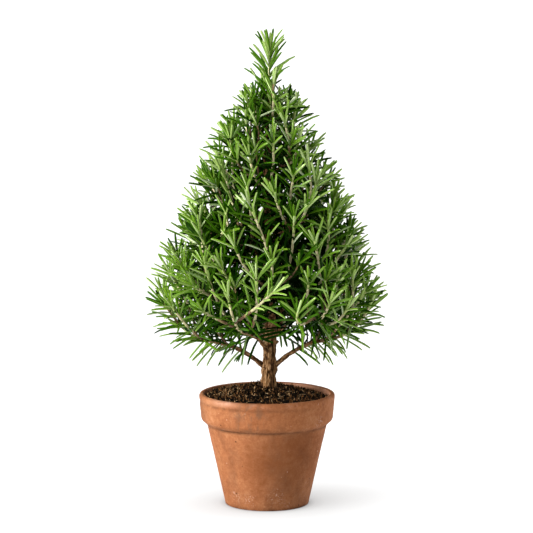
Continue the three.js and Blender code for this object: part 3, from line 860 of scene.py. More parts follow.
def plan_stems():
    """Every stem of the crown: the boughs, their shoots, the finer twigs and the shoots of the trunk."""
    stems = []
    spots = outline_spots()
    for bough in boughs:
        stems += [Stem(bough.path, "bough", bough.key, bough)] + plan_side_shoots(bough, spots)
    stems.append(Stem(leader.path, "leader", leader.key, leader))
    for number in range(TRUNK_SHOOTS):
        at = lerp(*TRUNK_SHOOTS_AT, (number + 0.5) / TRUNK_SHOOTS)
        length = TRUNK_SHOOT_LENGTH * (1 + SHOOT_LENGTH_JITTER * swing(number, 11))
        shoot = shoot_from(None, trunk_path, at, GOLDEN_TURN * number, length, FINE_CLEARANCE)
        if shoot is not None:
            stems.append(Stem(shoot, "trunk", TRUNK_KEYS + number))
    for number in range(CREST_SHOOTS):
        out = spot_at(1, FULL_TURN * (number + CREST_FIRST) / CREST_SHOOTS) * CREST_REACH
        foot = point_on(trunk_path, lerp(*CREST_FEET, chance(number, 13)))
        tip = foot + out + UP * CREST_RISE * (1 + CREST_JITTER * swing(number, 14))
        crest = BentPath(foot, foot + out * CREST_BEND[0] + UP * CREST_RISE * CREST_BEND[1], tip)
        stems.append(Stem(crest, "crest", CREST_KEYS + number))
    for number, fill in enumerate(plan_fills(spots)):
        stems.append(Stem(fill, "fill", FILL_KEYS + number))
    return stems


stems = plan_stems()

# Making meshes.


def add_object(name, data):
    added = bpy.data.objects.new(name, data)
    bpy.context.scene.collection.objects.link(added)
    return added


def make_piece(name, places, faces, looks, slots=None, smooth=True, notes=None):
    """A mesh object from an array of places in millimetres and arrays of faces."""
    mesh = bpy.data.meshes.new(name)
    mesh.vertices.add(len(places))
    mesh.vertices.foreach_set("co", (places * MM).astype(np.float32).ravel())
    corners = np.concatenate([part.ravel() for part in faces]).astype(np.int32)
    sizes = np.concatenate([np.full(len(part), part.shape[1]) for part in faces])
    starts = np.concatenate([[0], np.cumsum(sizes)[:-1]]).astype(np.int32)
    mesh.loops.add(len(corners))
    mesh.loops.foreach_set("vertex_index", corners)
    mesh.polygons.add(len(sizes))
    mesh.polygons.foreach_set("loop_start", starts)
    if slots is not None:
        mesh.polygons.foreach_set("material_index", slots.astype(np.int32))
    mesh.update(calc_edges=True)
    mesh.polygons.foreach_set("use_smooth", np.full(len(sizes), smooth))
    for note, values in (notes or {}).items():
        kind, field = ("FLOAT_VECTOR", "vector") if values.ndim == 2 else ("FLOAT", "value")
        attribute = mesh.attributes.new(note, kind, "POINT")
        attribute.data.foreach_set(field, values.astype(np.float32).ravel())
    for look in looks:
        mesh.materials.append(look)
    return add_object(name, mesh)


def tube_faces(rings, sides):
    """Faces of a closed tube whose places run ring by ring: its walls, its foot and its tip."""
    ring = np.arange(rings - 1)[:, None] * sides
    corner = np.arange(sides)[None]
    onward = (corner + 1) % sides
    walls = np.stack([ring + corner, ring + onward, ring + sides + onward, ring + sides + corner], axis=-1)
    return walls.reshape(-1, 4), corner[:, ::-1], (rings - 1) * sides + corner


class Heap:
    """Meshes being joined into one: places, faces by their number of corners, and the slot of each face."""

    def __init__(self):
        self.places, self.count = [], 0
        self.faces, self.slots, self.notes = {}, {}, {}

    def add(self, places, faces, slot=0, notes=None):
        for part in faces:
            self.faces.setdefault(part.shape[1], []).append(part + self.count)
            self.slots.setdefault(part.shape[1], []).append(np.full(len(part), slot))
        for note, values in (notes or {}).items():
            self.notes.setdefault(note, []).append(values)
        self.places.append(places)
        self.count += len(places)

    def add_tube(self, path, start, end, radii, sides, slot=0, ridge=0.0, notes=None):
        """A round limb along part of a path, with its radius at each ring and an uneven surface."""
        shares = np.linspace(start, end, len(radii))
        rims = np.broadcast_to(radii[:, None] + ridge, (len(radii), sides))
        angles = turns(sides)[:, None]
        places = []
        for share, middle, rim in zip(shares, path.points(shares), rims):
            _, side, over = across_path(path, share)
            away = np.cos(angles) * side + np.sin(angles) * over
            places.append(middle + away * rim[:, None])
        self.add(np.concatenate(places), tube_faces(len(radii), sides), slot, notes)

    def piece(self, name, looks):
        sizes = sorted(self.faces)
        faces = [np.concatenate(self.faces[size]) for size in sizes]
        slots = np.concatenate([np.concatenate(self.slots[size]) for size in sizes])
        notes = {note: np.concatenate(values) for note, values in self.notes.items()}
        return make_piece(name, np.concatenate(self.places), faces, looks, slots, notes=notes)


# Materials.


def feed(tree, socket, value):
    """Gives a socket the output of another node, or a value of its own."""
    if isinstance(value, bpy.types.NodeSocket):
        tree.links.new(value, socket)
    else:
        socket.default_value = value


def put(tree, kind, settings=None, **feeds):
    """Adds a node to a tree, with its settings and with values or other nodes' outputs for its inputs."""
    node = tree.nodes.new(kind)
    for name, value in (settings or {}).items():
        setattr(node, name, value)
    for name, value in feeds.items():
        feed(tree, node.inputs[name.replace("_", " ")], value)
    return node


def work_out(tree, kind, operation, *values):
    """The outputs of a node that works something out from values, in the order of its inputs."""
    node = put(tree, kind, {"operation": operation})
    for socket, value in zip(node.inputs, values):
        feed(tree, socket, value)
    return node.outputs


def new_group(name, kind, takes, gives):
    """A node group with named inputs and outputs, and its inputs as its nodes see them."""
    group = bpy.data.node_groups.new(name, kind)
    for way, sockets in (("INPUT", takes), ("OUTPUT", gives)):
        for socket, sort in sockets.items():
            group.interface.new_socket(socket, in_out=way, socket_type=f"NodeSocket{sort}")
    return group, group.nodes.new("NodeGroupInput").outputs


def grain_group():
    """Fine surface grain shared by several materials: a mask that varies over the surface and a normal."""
    takes = {"Spot": "Vector", "Scale": "Float", "Strength": "Float", "Depth": "Float"}
    gives = {"Mask": "Float", "Normal": "Vector"}
    group, inside = new_group("surface_grain", "ShaderNodeTree", takes, gives)
    grain = put(group, "ShaderNodeTexNoise", Vector=inside["Spot"], Scale=inside["Scale"],
                Detail=GRAIN_DETAIL)
    mask = grain.outputs["Fac"]
    bump = put(group, "ShaderNodeBump", Height=mask, Strength=inside["Strength"], Distance=inside["Depth"])
    put(group, "NodeGroupOutput", Mask=mask, Normal=bump.outputs["Normal"])
    return group


surface_grain = grain_group()


class Look:
    """A material in the making: its nodes, and the spot on the piece that its patterns go by."""

    def __init__(self, name):
        self.material = bpy.data.materials.new(name)
        self.material.use_nodes = True
        self.tree = self.material.node_tree
        self.tree.nodes.clear()
        self.spot = put(self.tree, "ShaderNodeTexCoord").outputs["Object"]

    def noise(self, scale, detail, roughness=0.55, distortion=0.0, spot=None):
        node = put(self.tree, "ShaderNodeTexNoise", Vector=self.spot if spot is None else spot, Scale=scale,
                   Detail=detail, Roughness=roughness, Distortion=distortion)
        return node.outputs["Fac"]

    def ramp(self, share, *stops):
        """A colour ramp over a share, from stops of place and colour."""
        node = put(self.tree, "ShaderNodeValToRGB", Fac=share)
        bar = node.color_ramp
        while len(bar.elements) < len(stops):
            bar.elements.new(0.5)
        for element, (place, colour) in zip(bar.elements, stops):
            element.position = place
            element.color = (*colour, 1.0) if isinstance(colour, tuple) else (colour, colour, colour, 1.0)
        return node.outputs["Color"]

    def patches(self, pattern, *stops, spot=None):
        """A mask of patches, from a noise and the stops of its ramp."""
        return self.ramp(self.noise(*pattern, spot=spot), *stops)

    def sheen(self, mask, low, high):
        """A roughness that follows a mask from one value to another."""
        return self.ramp(mask, (SHEEN_STOPS[0], low), (SHEEN_STOPS[1], high))

    def blend(self, share, first, second):
        node = put(self.tree, "ShaderNodeMix", {"data_type": "RGBA"})
        for place, value in zip(MIX_INPUTS, (share, first, second)):
            feed(self.tree, node.inputs[place], (*value, 1.0) if isinstance(value, tuple) else value)
        return node.outputs[MIX_OUTPUT]

    def times(self, first, second):
        return work_out(self.tree, "ShaderNodeMath", "MULTIPLY", first, second)["Value"]

    def weighed(self, *parts, onto=0.0):
        """The sum of several masks, each times its weight."""
        total = onto
        for mask, weight in parts:
            total = work_out(self.tree, "ShaderNodeMath", "MULTIPLY_ADD", mask, weight, total)["Value"]
        return total

    def span(self, value, low, high, way="LINEAR"):
        """A share that goes from 0 to 1 as a value goes from low to high."""
        node = put(self.tree, "ShaderNodeMapRange", {"interpolation_type": way}, Value=value, From_Min=low,
                   From_Max=high)
        return node.outputs["Result"]

    def stretched(self, scale):
        return put(self.tree, "ShaderNodeMapping", Vector=self.spot, Scale=scale).outputs["Vector"]

    def note(self, name, kind="Fac"):
        """A note that the mesh carries at its points."""
        return put(self.tree, "ShaderNodeAttribute", {"attribute_name": name}).outputs[kind]

    def near(self, place, reach, strength):
        """A mask that is strongest at a place and fades to 0 as far as it reaches, with a ragged edge."""
        away = work_out(self.tree, "ShaderNodeVectorMath", "DISTANCE", self.spot, place)["Value"]
        ragged = self.weighed((away, 1.0), (self.noise(*MARK_EDGE), MARK_RAGGEDNESS * reach))
        fade = self.span(ragged, MARK_FADE[0] * reach, MARK_FADE[1] * reach, "SMOOTHSTEP")
        return self.weighed((fade, strength))

    def grained(self, scale, strength, depth, spot=None):
        """The shared grain: its mask and its normal."""
        node = put(self.tree, "ShaderNodeGroup", {"node_tree": surface_grain}, Scale=scale,
                   Strength=strength, Depth=depth, Spot=self.spot if spot is None else spot)
        return node.outputs["Mask"], node.outputs["Normal"]

    def finish(self, **feeds):
        shader = put(self.tree, "ShaderNodeBsdfPrincipled", **feeds)
        put(self.tree, "ShaderNodeOutputMaterial", Surface=shader.outputs["BSDF"])
        return self.material


def plain_look(name, colour, grain, roughness, **feeds):
    """Needle or twig: one plain colour, with a sheen that varies from spot to spot."""
    look = Look(name)
    mask, normal = look.grained(*grain)
    sheen = look.sheen(mask, *roughness)
    return look.finish(Base_Color=(*colour, 1.0), Roughness=sheen, Normal=normal, **feeds)


def bark_look():
    """Fissured bark: tan ridges, dark cracks that are partly painted shade, and grey weathering, from the
    relief of the limb itself.
    """
    look = Look("bark")
    along = look.note("along_limb", "Vector")
    strands = look.noise(*BARK_STRANDS, spot=along)
    lift = look.weighed((strands, BARK_STRAND_WEIGHT), onto=look.note("ridge"))
    colour = look.ramp(look.span(lift, *BARK_SPAN), *BARK_TONES)
    colour = look.blend(look.patches(*BARK_WEATHER), colour, WEATHERED_BARK)
    _, normal = look.grained(*LIMB_GRAIN, spot=along)
    return look.finish(Base_Color=colour, Roughness=look.sheen(strands, *BARK_ROUGHNESS), Normal=normal,
                       Specular_IOR_Level=BARK_SHINE)


def clay_look():
    """Weathered terracotta: mottled red clay, turning lines, smears, dust, chalky flecks and pits, darker
    along the groove, with painted shade under the band, at the foot, on the band's left edge and with a damp
    stain on the front right, and the inner wall painted light on the right and shade on the left.
    """
    look = Look("terracotta")
    across = put(look.tree, "ShaderNodeSeparateXYZ", Vector=look.spot).outputs
    height = across["Z"]
    lines = look.noise(*CLAY_LINES, spot=look.stretched(TURNED))
    mottling = [(look.noise(*pattern), weight) for pattern, weight in CLAY_MOTTLING]
    tone = look.weighed(*mottling, (lines, CLAY_LINE_WEIGHT))
    damp_and_shade = look.times(look.near(*DAMP_AND_SHADE_PATCH), look.span(height, *BELOW_BAND))
    smears = look.patches(*SMEARS, spot=look.stretched(DRAWN))
    smudge = look.times(look.patches(*DRIPS, spot=look.stretched(DRIPPED)), look.near(*BAND_SMUDGE))
    wall = look.blend(look.span(across["X"], *WALL_LIGHT_SPAN), PAINTED_SHADE_WALL, PAINTED_LIGHT_WALL)
    dust = look.weighed((look.patches(*DUST_PATCHES), 1.0), onto=look.near(*RIM_DUST))
    clusters = look.times(look.patches(*CHALK_CLUSTERS), look.span(height, *CHALK_SPAN))
    chalk = look.weighed(*[(look.near(*mark), 1.0) for mark in CHALK_MARKS], onto=clusters)
    painted_shade = look.ramp(look.span(height, *SHADE_SPAN), *SHADE_BY_HEIGHT)
    cells = put(look.tree, "ShaderNodeTexVoronoi", Vector=look.spot, Scale=PIT_SCALE, Randomness=1.0).outputs
    pits = look.times(look.ramp(cells["Distance"], *PIT_SIZE), look.ramp(cells["Color"], *PIT_CHOICE))
    coats = (
        # Damp stain and painted shade on the front right of the body.
        (damp_and_shade, DAMP_AND_SHADE_CLAY),
        (smears, SMEARED_CLAY),
        (smudge, SMUDGED_CLAY),
        (look.near(*BAND_SHADE), SHADED_CLAY),
        # Painted light on the inner wall's right and painted shade on its left, in patches.
        (look.times(look.note("inside"), look.patches(*WALL_LIGHT_PATCHES)), wall),
        # Darker along the groove, in patches.
        (look.times(look.note("groove"), look.patches(*GROOVE_DARK_PATCHES)), GROOVE_DARKENING),
        (look.times(dust, look.span(height, *RIM_SPAN)), PALE_DUST),
        (look.times(look.patches(*CHALK_FLECKS), chalk), CHALK),
        (look.patches(*SPECKS), PALE_SPECK),
        # Painted shade under the band and at the foot, broken in patches.
        (look.times(painted_shade, look.patches(*SHADE_BREAKS)), BAND_AND_FOOT_SHADE),
        (pits, PIT),
    )
    colour = look.ramp(tone, *CLAY_TONES)
    for mask, coat in coats:
        colour = look.blend(mask, colour, coat)
    surface = look.weighed(*zip((look.noise(*CLAY_GRAIN), lines, pits), CLAY_RELIEF))
    bump = put(look.tree, "ShaderNodeBump", Height=surface, **CLAY_BUMP)
    rubbed = look.ramp(tone, *CLAY_RUBBING)
    return look.finish(Base_Color=colour, Roughness=rubbed, Normal=bump.outputs["Normal"],
                       Specular_IOR_Level=CLAY_SHINE)


def soil_look(name, dark, pale, scale):
    """Crumbly matt stuff: two tones of one colour in patches of a given scale."""
    look = Look(name)
    patches = look.noise(scale, *SOIL_PATCHES)
    _, normal = look.grained(*SOIL_GRAIN)
    colour = look.ramp(patches, *zip(SOIL_STOPS, (dark, pale)))
    return look.finish(Base_Color=colour, Roughness=look.sheen(patches, *SOIL_MATTNESS), Normal=normal,
                       Specular_IOR_Level=SOIL_SHINE)


def floor_look():
    """Pale floor that glows though it is no lamp, less near the pot, which paints a contact shadow round its
    foot.
    """
    look = Look("studio_floor")
    _, normal = look.grained(*FLOOR_GRAIN)
    away = work_out(look.tree, "ShaderNodeVectorMath", "LENGTH", look.spot)["Value"]
    glow_with_shadow = look.ramp(look.span(away, 0.0, FLOOR_GLOW_REACH), *FLOOR_GLOW_WITH_SHADOW)
    return look.finish(Base_Color=look.patches(*FLOOR_TONE), Roughness=FLOOR_ROUGHNESS, Normal=normal,
                       Specular_IOR_Level=0.0, Emission_Color=glow_with_shadow, Emission_Strength=1.0)


# Clay pot.


def pot_outside(z):
    return lerp(FOOT_RADIUS, BODY_TOP_RADIUS, z / BAND_Z)


def pot_inside(z):
    return lerp(INNER_FOOT_RADIUS, INNER_RIM_RADIUS, (z - FLOOR) / (POT_HEIGHT - FLOOR))


def outline_run(steps, first, *onward):
    """Spots along a line to a corner, or round one corner to the next, short of the last spot."""
    shares = np.arange(steps) / steps
    corners = [np.array(corner, float) for corner in (first, *onward)]
    return lerp(*corners, shares[:, None]) if len(corners) == 2 else BentPath(*corners).points(shares)


def pot_outline():
    """Closed outline of the pot's wall as radius and height, from the drain hole round and back."""
    under_foot = (FOOT_RADIUS - FOOT_ROUND, 0)
    over_foot = (pot_outside(FOOT_ROUND), FOOT_ROUND)
    body_top_z = BAND_SLANT_FOOT - NECK_BEND_BELOW
    body_top = (pot_outside(body_top_z), body_top_z)
    neck = np.array([pot_outside(BAND_SLANT_FOOT), BAND_SLANT_FOOT])
    band_foot = np.array([BAND_BOTTOM_RADIUS, BAND_SLANT_TOP])
    slant_from = neck + NECK_BEND
    slant_to = band_foot - BAND_FOOT_BEND
    band_side = band_foot + BAND_SIDE_BEND
    lip_side = (RIM_RADIUS, POT_HEIGHT - LIP_ROUND)
    lip_top = (RIM_RADIUS - LIP_ROUND, POT_HEIGHT)
    inner_edge = (pot_inside(POT_HEIGHT - INNER_LIP_ROUND), POT_HEIGHT - INNER_LIP_ROUND)
    inner_foot = (pot_inside(FLOOR), FLOOR)
    hole_top = (DRAIN_HOLE_RADIUS, FLOOR)
    hole_foot = (DRAIN_HOLE_RADIUS, 0)
    runs = (
        (6, hole_foot, under_foot),
        (6, under_foot, (FOOT_RADIUS, 0), over_foot),
        (48, over_foot, body_top),
        (5, body_top, neck, slant_from),
        (3, slant_from, slant_to),
        (6, slant_to, band_foot, band_side),
        (20, band_side, lip_side),
        (9, lip_side, (RIM_RADIUS, POT_HEIGHT), lip_top),
        (8, lip_top, (INNER_RIM_RADIUS, POT_HEIGHT), inner_edge),
        (24, inner_edge, inner_foot),
        (6, inner_foot, hole_top),
        (4, hole_top, hole_foot),
    )
    return np.concatenate([outline_run(*run) for run in runs])


def make_pot():
    """Pot thrown on a wheel: its outline turned round, a little out of true, with faint throwing lines."""
    outline = pot_outline()
    count = len(outline)
    turn, radius = np.meshgrid(turns(POT_SIDES), outline[:, 0], indexing="ij")
    height = np.broadcast_to(outline[:, 1], turn.shape)
    warp = POT_WARP * rough_round(turn, height, *WARP_BUMPS)
    lines = THROWING_LINES * rough_round(turn, height, *LINE_BUMPS)
    outer = (height > TRUE_FOOT) & (radius > pot_inside(0) + TRUE_FLOOR)
    groove = np.exp(-(((height - GROOVE_Z) / GROOVE_WIDTH) ** 2))
    groove = groove * np.clip(np.cos(turn - GROOVE_TURN), 0, 1) ** GROOVE_FADING
    groove = groove * (radius > BAND_BOTTOM_RADIUS)
    inside = (height > FLOOR) & (radius < pot_inside(height) + INSIDE_WALL)
    chips = np.clip(rough_round(turn, height, *CHIP_BUMPS) - CHIPS_ABOVE, 0, 1)
    radius = radius + outer * (warp + lines) - GROOVE_DEPTH * groove
    height = height - (height > POT_HEIGHT - LIP_CHIPS_DEPTH) * LIP_CHIPS * chips
    side = np.arange(POT_SIDES)[:, None] * count
    onward = np.roll(side, -1, axis=0)
    spot = np.arange(count)[None]
    later = np.roll(spot, -1)
    faces = np.stack([side + spot, onward + spot, onward + later, side + later], axis=-1).reshape(-1, 4)
    notes = {"groove": groove.ravel(), "inside": inside.ravel()}
    return make_piece("clay_pot", places_round(radius, turn, height), [faces], [clay_look()], notes=notes)


# Soil.


def soil_height(x, y):
    """Height of the heaped soil, which lies a little lower at the back on the right."""
    share = np.maximum(0, np.hypot(x, y) - SOIL_FLAT_RADIUS) / (INNER_RIM_RADIUS - SOIL_FLAT_RADIUS)
    heap = SOIL_HEAP - (SOIL_HEAP + SOIL_EDGE_DROP) * share**SOIL_HEAP_POWER
    return POT_HEIGHT + heap - SOIL_TILT * (SOIL_LOW_SIDE[0] * x + SOIL_LOW_SIDE[1] * y) / INNER_RIM_RADIUS


def soil_mound(x, y):
    """Height of the small mound behind the trunk."""
    away = (x - SOIL_MOUND_SPOT[0]) ** 2 + (y - SOIL_MOUND_SPOT[1]) ** 2
    return SOIL_MOUND * np.exp(-away / SOIL_MOUND_RADIUS**2)


def soil_top(shrink, lower):
    """Places of the heaped top of the soil, from the middle out by rings, and the faces at its middle."""
    edge = pot_inside(POT_HEIGHT - SOIL_EDGE_DROP) - SOIL_GAP - shrink
    radii = np.linspace(edge / SOIL_RINGS, edge, SOIL_RINGS)[:, None]
    places = places_round(radii, turns(SOIL_SIDES), 0.0)
    x, y = places[:, 0], places[:, 1]
    lumps = sum(weight * rough(places / size, seed) for size, seed, weight in SOIL_LUMPS)
    calm = np.clip((edge - np.hypot(x, y)) / SOIL_CALM_EDGE, 0, 1)
    places[:, 2] = soil_height(x, y) + soil_mound(x, y) - lower + SOIL_ROUGHNESS * lumps * calm
    middle = np.array([[0.0, 0.0, POT_HEIGHT + SOIL_HEAP - lower]])
    corner = np.arange(SOIL_SIDES)
    fan = np.stack([np.zeros_like(corner), corner + 1, np.roll(corner, -1) + 1], axis=-1)
    return np.concatenate([middle, places]), fan


def soil_rings(count):
    """Faces between rings of the soil, which look up, and the one that closes the last ring from below."""
    walls, _, last = tube_faces(count, SOIL_SIDES)
    return walls[:, [0, 3, 2, 1]] + 1, last[:, ::-1] + 1


def make_soil():
    """The filling of the pot: a lumpy heap on top, its wall and its flat underside."""
    places, fan = soil_top(0, SOIL_BELOW_CRUMBS)
    bottom = FLOOR + SOIL_GAP
    foot = places_round(pot_inside(bottom) - SOIL_GAP, turns(SOIL_SIDES), bottom)
    walls, underside = soil_rings(SOIL_RINGS + 1)
    look = soil_look("soil", *SOIL_COLOURS)
    return make_piece("soil_filling", np.concatenate([places, foot]), [walls, fan, underside], [look])


def crumb_scatter():
    """Geometry nodes that strew lumpy crumbs over a surface and join them into one mesh."""
    takes = {"Geometry": "Geometry", "Density": "Float", "Least Size": "Vector", "Largest Size": "Vector",
             "Lumpiness": "Float", "Seed": "Int", "Material": "Material"}
    group, inside = new_group("strewn_crumbs", "GeometryNodeTree", takes, {"Geometry": "Geometry"})
    strewn = put(group, "GeometryNodeDistributePointsOnFaces", Mesh=inside["Geometry"],
                 Density=inside["Density"], Seed=inside["Seed"])
    crumb = put(group, "GeometryNodeMeshIcoSphere", Radius=1.0, Subdivisions=2)
    sizes = put(group, "FunctionNodeRandomValue", {"data_type": "FLOAT_VECTOR"}, Min=inside["Least Size"],
                Max=inside["Largest Size"], Seed=inside["Seed"])
    tumbled = put(group, "FunctionNodeRandomValue", {"data_type": "FLOAT_VECTOR"}, Min=(0.0, 0.0, 0.0),
                  Max=(FULL_TURN, FULL_TURN, FULL_TURN), Seed=inside["Seed"])
    placed = put(group, "GeometryNodeInstanceOnPoints", Points=strewn.outputs["Points"],
                 Instance=crumb.outputs["Mesh"], Rotation=tumbled.outputs["Value"],
                 Scale=sizes.outputs["Value"])
    joined = put(group, "GeometryNodeRealizeInstances", Geometry=placed.outputs["Instances"])
    lumps = put(group, "ShaderNodeTexNoise", **CRUMB_LUMPS)
    centred = work_out(group, "ShaderNodeVectorMath", "SUBTRACT", lumps.outputs["Color"], (0.5, 0.5, 0.5))
    offset = put(group, "ShaderNodeVectorMath", {"operation": "SCALE"}, Vector=centred["Vector"],
                 Scale=inside["Lumpiness"])
    lumpy = put(group, "GeometryNodeSetPosition", Geometry=joined.outputs["Geometry"],
                Offset=offset.outputs["Vector"])
    shaded = put(group, "GeometryNodeSetMaterial", Geometry=lumpy.outputs["Geometry"],
                 Material=inside["Material"])
    put(group, "NodeGroupOutput", Geometry=shaded.outputs["Geometry"])
    return group


def strew(name, ground, group, **values):
    """One kind of crumb strewn over the ground, as a mesh of its own."""
    modifier = ground.modifiers.new("crumbs", "NODES")
    modifier.node_group = group
    for item in group.interface.items_tree:
        if item.in_out == "INPUT" and item.name.replace(" ", "_") in values:
            modifier[item.identifier] = values[item.name.replace(" ", "_")]
    ground.update_tag()
    bpy.context.view_layer.update()
    mesh = bpy.data.meshes.new_from_object(ground.evaluated_get(bpy.context.evaluated_depsgraph_get()))
    ground.modifiers.remove(modifier)
    mesh.name = name
    return add_object(name, mesh)


def make_crumbs():
    """Crumbs of several kinds on the soil, from dark peat to tan chips of bark."""
    places, fan = soil_top(CRUMBS_FROM_WALL, CRUMBS_SUNK)
    ground = make_piece("soil_ground", places, [soil_rings(SOIL_RINGS)[0], fan], [])
    group = crumb_scatter()
    crumbs = []
    for name, (density, least, largest, dark, pale, seed) in CRUMB_KINDS.items():
        small = tuple(size * MM for size in least)
        large = tuple(size * MM for size in largest)
        look = soil_look(name, dark, pale, CRUMB_PATCHES)
        crumbs.append(strew(name, ground, group, Density=density, Least_Size=small, Largest_Size=large,
                            Lumpiness=CRUMB_LUMPINESS * MM, Seed=seed, Material=look))
    bpy.data.objects.remove(ground)
    return crumbs


def add_strand(heap, path, thick, rings, slot):
    """A thin strand, half as thick at its tip."""
    heap.add_tube(path, 0, 1, np.linspace(thick, thick / 2, rings), STRAND_SIDES, slot)


def make_fibres():
    """Pale root fibres and straws that lie on the soil, and dark slivers that stand round the trunk."""
    chances = np.random.default_rng(FIBRE_SEED)
    heap = Heap()
    for _ in range(FIBRES):
        radius = FIBRE_RING * math.sqrt(chances.random())
        middle = spot_at(radius, FULL_TURN * chances.random())
        heading = FULL_TURN * chances.random()
        reach = spot_at(chances.uniform(*FIBRE_LENGTH), heading)
        curl = np.array([-reach[1], reach[0], 0.0]) * chances.uniform(-FIBRE_CURL, FIBRE_CURL)
        spots = [middle - reach / 2, middle + curl, middle + reach / 2]
        for spot, lift in zip(spots, chances.uniform(*FIBRE_LIFT, len(spots))):
            spot[2] = soil_height(spot[0], spot[1]) + lift
        add_strand(heap, BentPath(*spots), chances.uniform(*FIBRE_THICKNESS), FIBRE_RINGS, 0)
    for _ in range(SLIVERS):
        radius = chances.uniform(*SLIVER_RING)
        start = spot_at(radius, FULL_TURN * chances.random())
        start[2] = soil_height(start[0], start[1]) + soil_mound(start[0], start[1]) - SLIVER_ROOT
        rise = np.array([0.0, 0.0, chances.uniform(*SLIVER_LENGTH)])
        lean = np.append(chances.uniform(-SLIVER_LEAN, SLIVER_LEAN, 2), 0.0)
        path = BentPath(start, start + SLIVER_BEND[0] * rise + SLIVER_BEND[1] * lean, start + rise + lean)
        add_strand(heap, path, chances.uniform(*SLIVER_THICKNESS), SLIVER_RINGS, 1)
    looks = [soil_look("fibre", *FIBRE_COLOURS), soil_look("sliver", *SLIVER_COLOURS)]
    return heap.piece("soil_fibres", looks)


# Trunk and boughs.


def bark_relief(along_limb, seed):
    """Height of the bark from about -1 to 1: long plates between fissures, roughened."""
    height = np.zeros(len(along_limb))
    for bumps, number, sharpness, weight in BARK_FISSURES:
        plates = np.minimum(1, sharpness * np.abs(rough(along_limb * np.array(bumps), seed + number)))
        height += weight * (2 * plates - 1)
    for bumps, number, weight in BARK_FLAKES:
        height += weight * rough(along_limb * np.array(bumps), seed + number)
    return height


def bark_notes(relief, along_limb):
    """Notes that the bark's colours are drawn from: the relief and the place round and along the limb."""
    return {"ridge": relief.ravel() * 0.5 + 0.5, "along_limb": along_limb}


def limb_notes(relief, radius, length):
    rings, sides = relief.shape
    along, turn = np.meshgrid(np.linspace(0, length, rings), turns(sides), indexing="ij")
    return bark_notes(relief, places_round(radius, turn, along) / LIMB_BARK)


def knot(height, turn, radius, spot_height, spot_turn, wide, tall):
    """A swelling on the trunk round one spot, from 0 to 1."""
    round_it = np.abs((turn - spot_turn + math.pi) % FULL_TURN - math.pi) * radius
    return np.exp(-((round_it / wide) ** 2) - ((height - spot_height) / tall) ** 2)


def add_stub(heap, height, degrees, thick, long):
    """A short cut twig standing out of the trunk."""
    share = up_trunk(height)
    out = spot_at(1, math.radians(degrees))
    start = point_on(trunk_path, share) + out * (trunk_radius(share) - STUB_ROOT)
    end = start + (out + STUB_CLIMB * UP) * (long + STUB_ROOT) / STUB_SLANT
    spots = np.random.default_rng(int(height)).random((STUB_RINGS * STUB_SIDES, 3)) * STUB_BARK_SPREAD
    relief = bark_relief(spots, STUB_BARK_SEED).reshape(STUB_RINGS, STUB_SIDES)
    radii = np.linspace(thick * STUB_TAPER[0], thick * STUB_TAPER[1], STUB_RINGS)
    heap.add_tube(BentPath(start, (start + end) / 2, end), 0, 1, radii, STUB_SIDES, ridge=STUB_BARK * relief,
                  notes=limb_notes(relief, thick, long))


def make_trunk(look):
    """The trunk and its bark: fissured, swollen where boughs leave, with a knobbly collar and cut stubs."""
    foot = -TRUNK_BURIED / TRUNK_LENGTH
    shares = foot + (1 - foot) * np.linspace(0, 1, TRUNK_RINGS) ** TRUNK_RING_CROWDING
    heights = lerp(TRUNK_FOOT_Z, TRUNK_TIP_Z, shares)
    height, turn = np.meshgrid(heights, turns(TRUNK_SIDES), indexing="ij")
    plain = np.broadcast_to(trunk_radius(shares)[:, None], turn.shape)
    spots = places_round(plain, turn, height) / TRUNK_BARK
    relief = bark_relief(spots, TRUNK_BARK_SEED).reshape(turn.shape)
    thicker = TRUNK_COLLAR * np.exp(-np.maximum(height - TRUNK_FOOT_Z, 0) / TRUNK_COLLAR_HEIGHT)
    radius = plain * (1 + thicker + TRUNK_LOBES * rough_round(turn, height, *LOBE_BUMPS))
    for bough in boughs:
        above_root = bough.path.root[2] + BOUGH_SWELLING_RISE
        swelling = knot(height, turn, plain, above_root, bough.path.heading, *BOUGH_SWELLING_SIZES)
        radius = radius + BOUGH_SWELLING * bough.radius * swelling
    for knot_height, degrees, size, wide in KNOTS:
        tall = wide * KNOT_TALLNESS
        radius = radius + size * knot(height, turn, plain, knot_height, math.radians(degrees), wide, tall)
    depth = BARK_DEPTH * (plain / TRUNK_FOOT_RADIUS) ** BARK_THINNING
    radius = radius + depth * (relief - relief.mean()) * 0.5
    middles = trunk_path.points(np.clip(shares, 0, 1))
    middles[:, 2] = heights
    heap = Heap()
    heap.add(np.repeat(middles, TRUNK_SIDES, axis=0) + places_round(radius, turn, 0.0),
             tube_faces(TRUNK_RINGS, TRUNK_SIDES), notes=bark_notes(relief, spots))
    for stub in STUBS:
        add_stub(heap, *stub)
    return heap.piece("barked_trunk", [look])


def stem_radius(bough, share):
    """Radius of a bough at a share of its line, which tapers to its tip."""
    bare = bough.radius * lerp(1, BARE_TAPER, np.minimum(share / BARE_SHARE, 1))
    beyond = np.clip((share - BARE_SHARE) / (1 - BARE_SHARE), 0, 1)
    return lerp(bare, BOUGH_TIP_RADIUS, beyond)


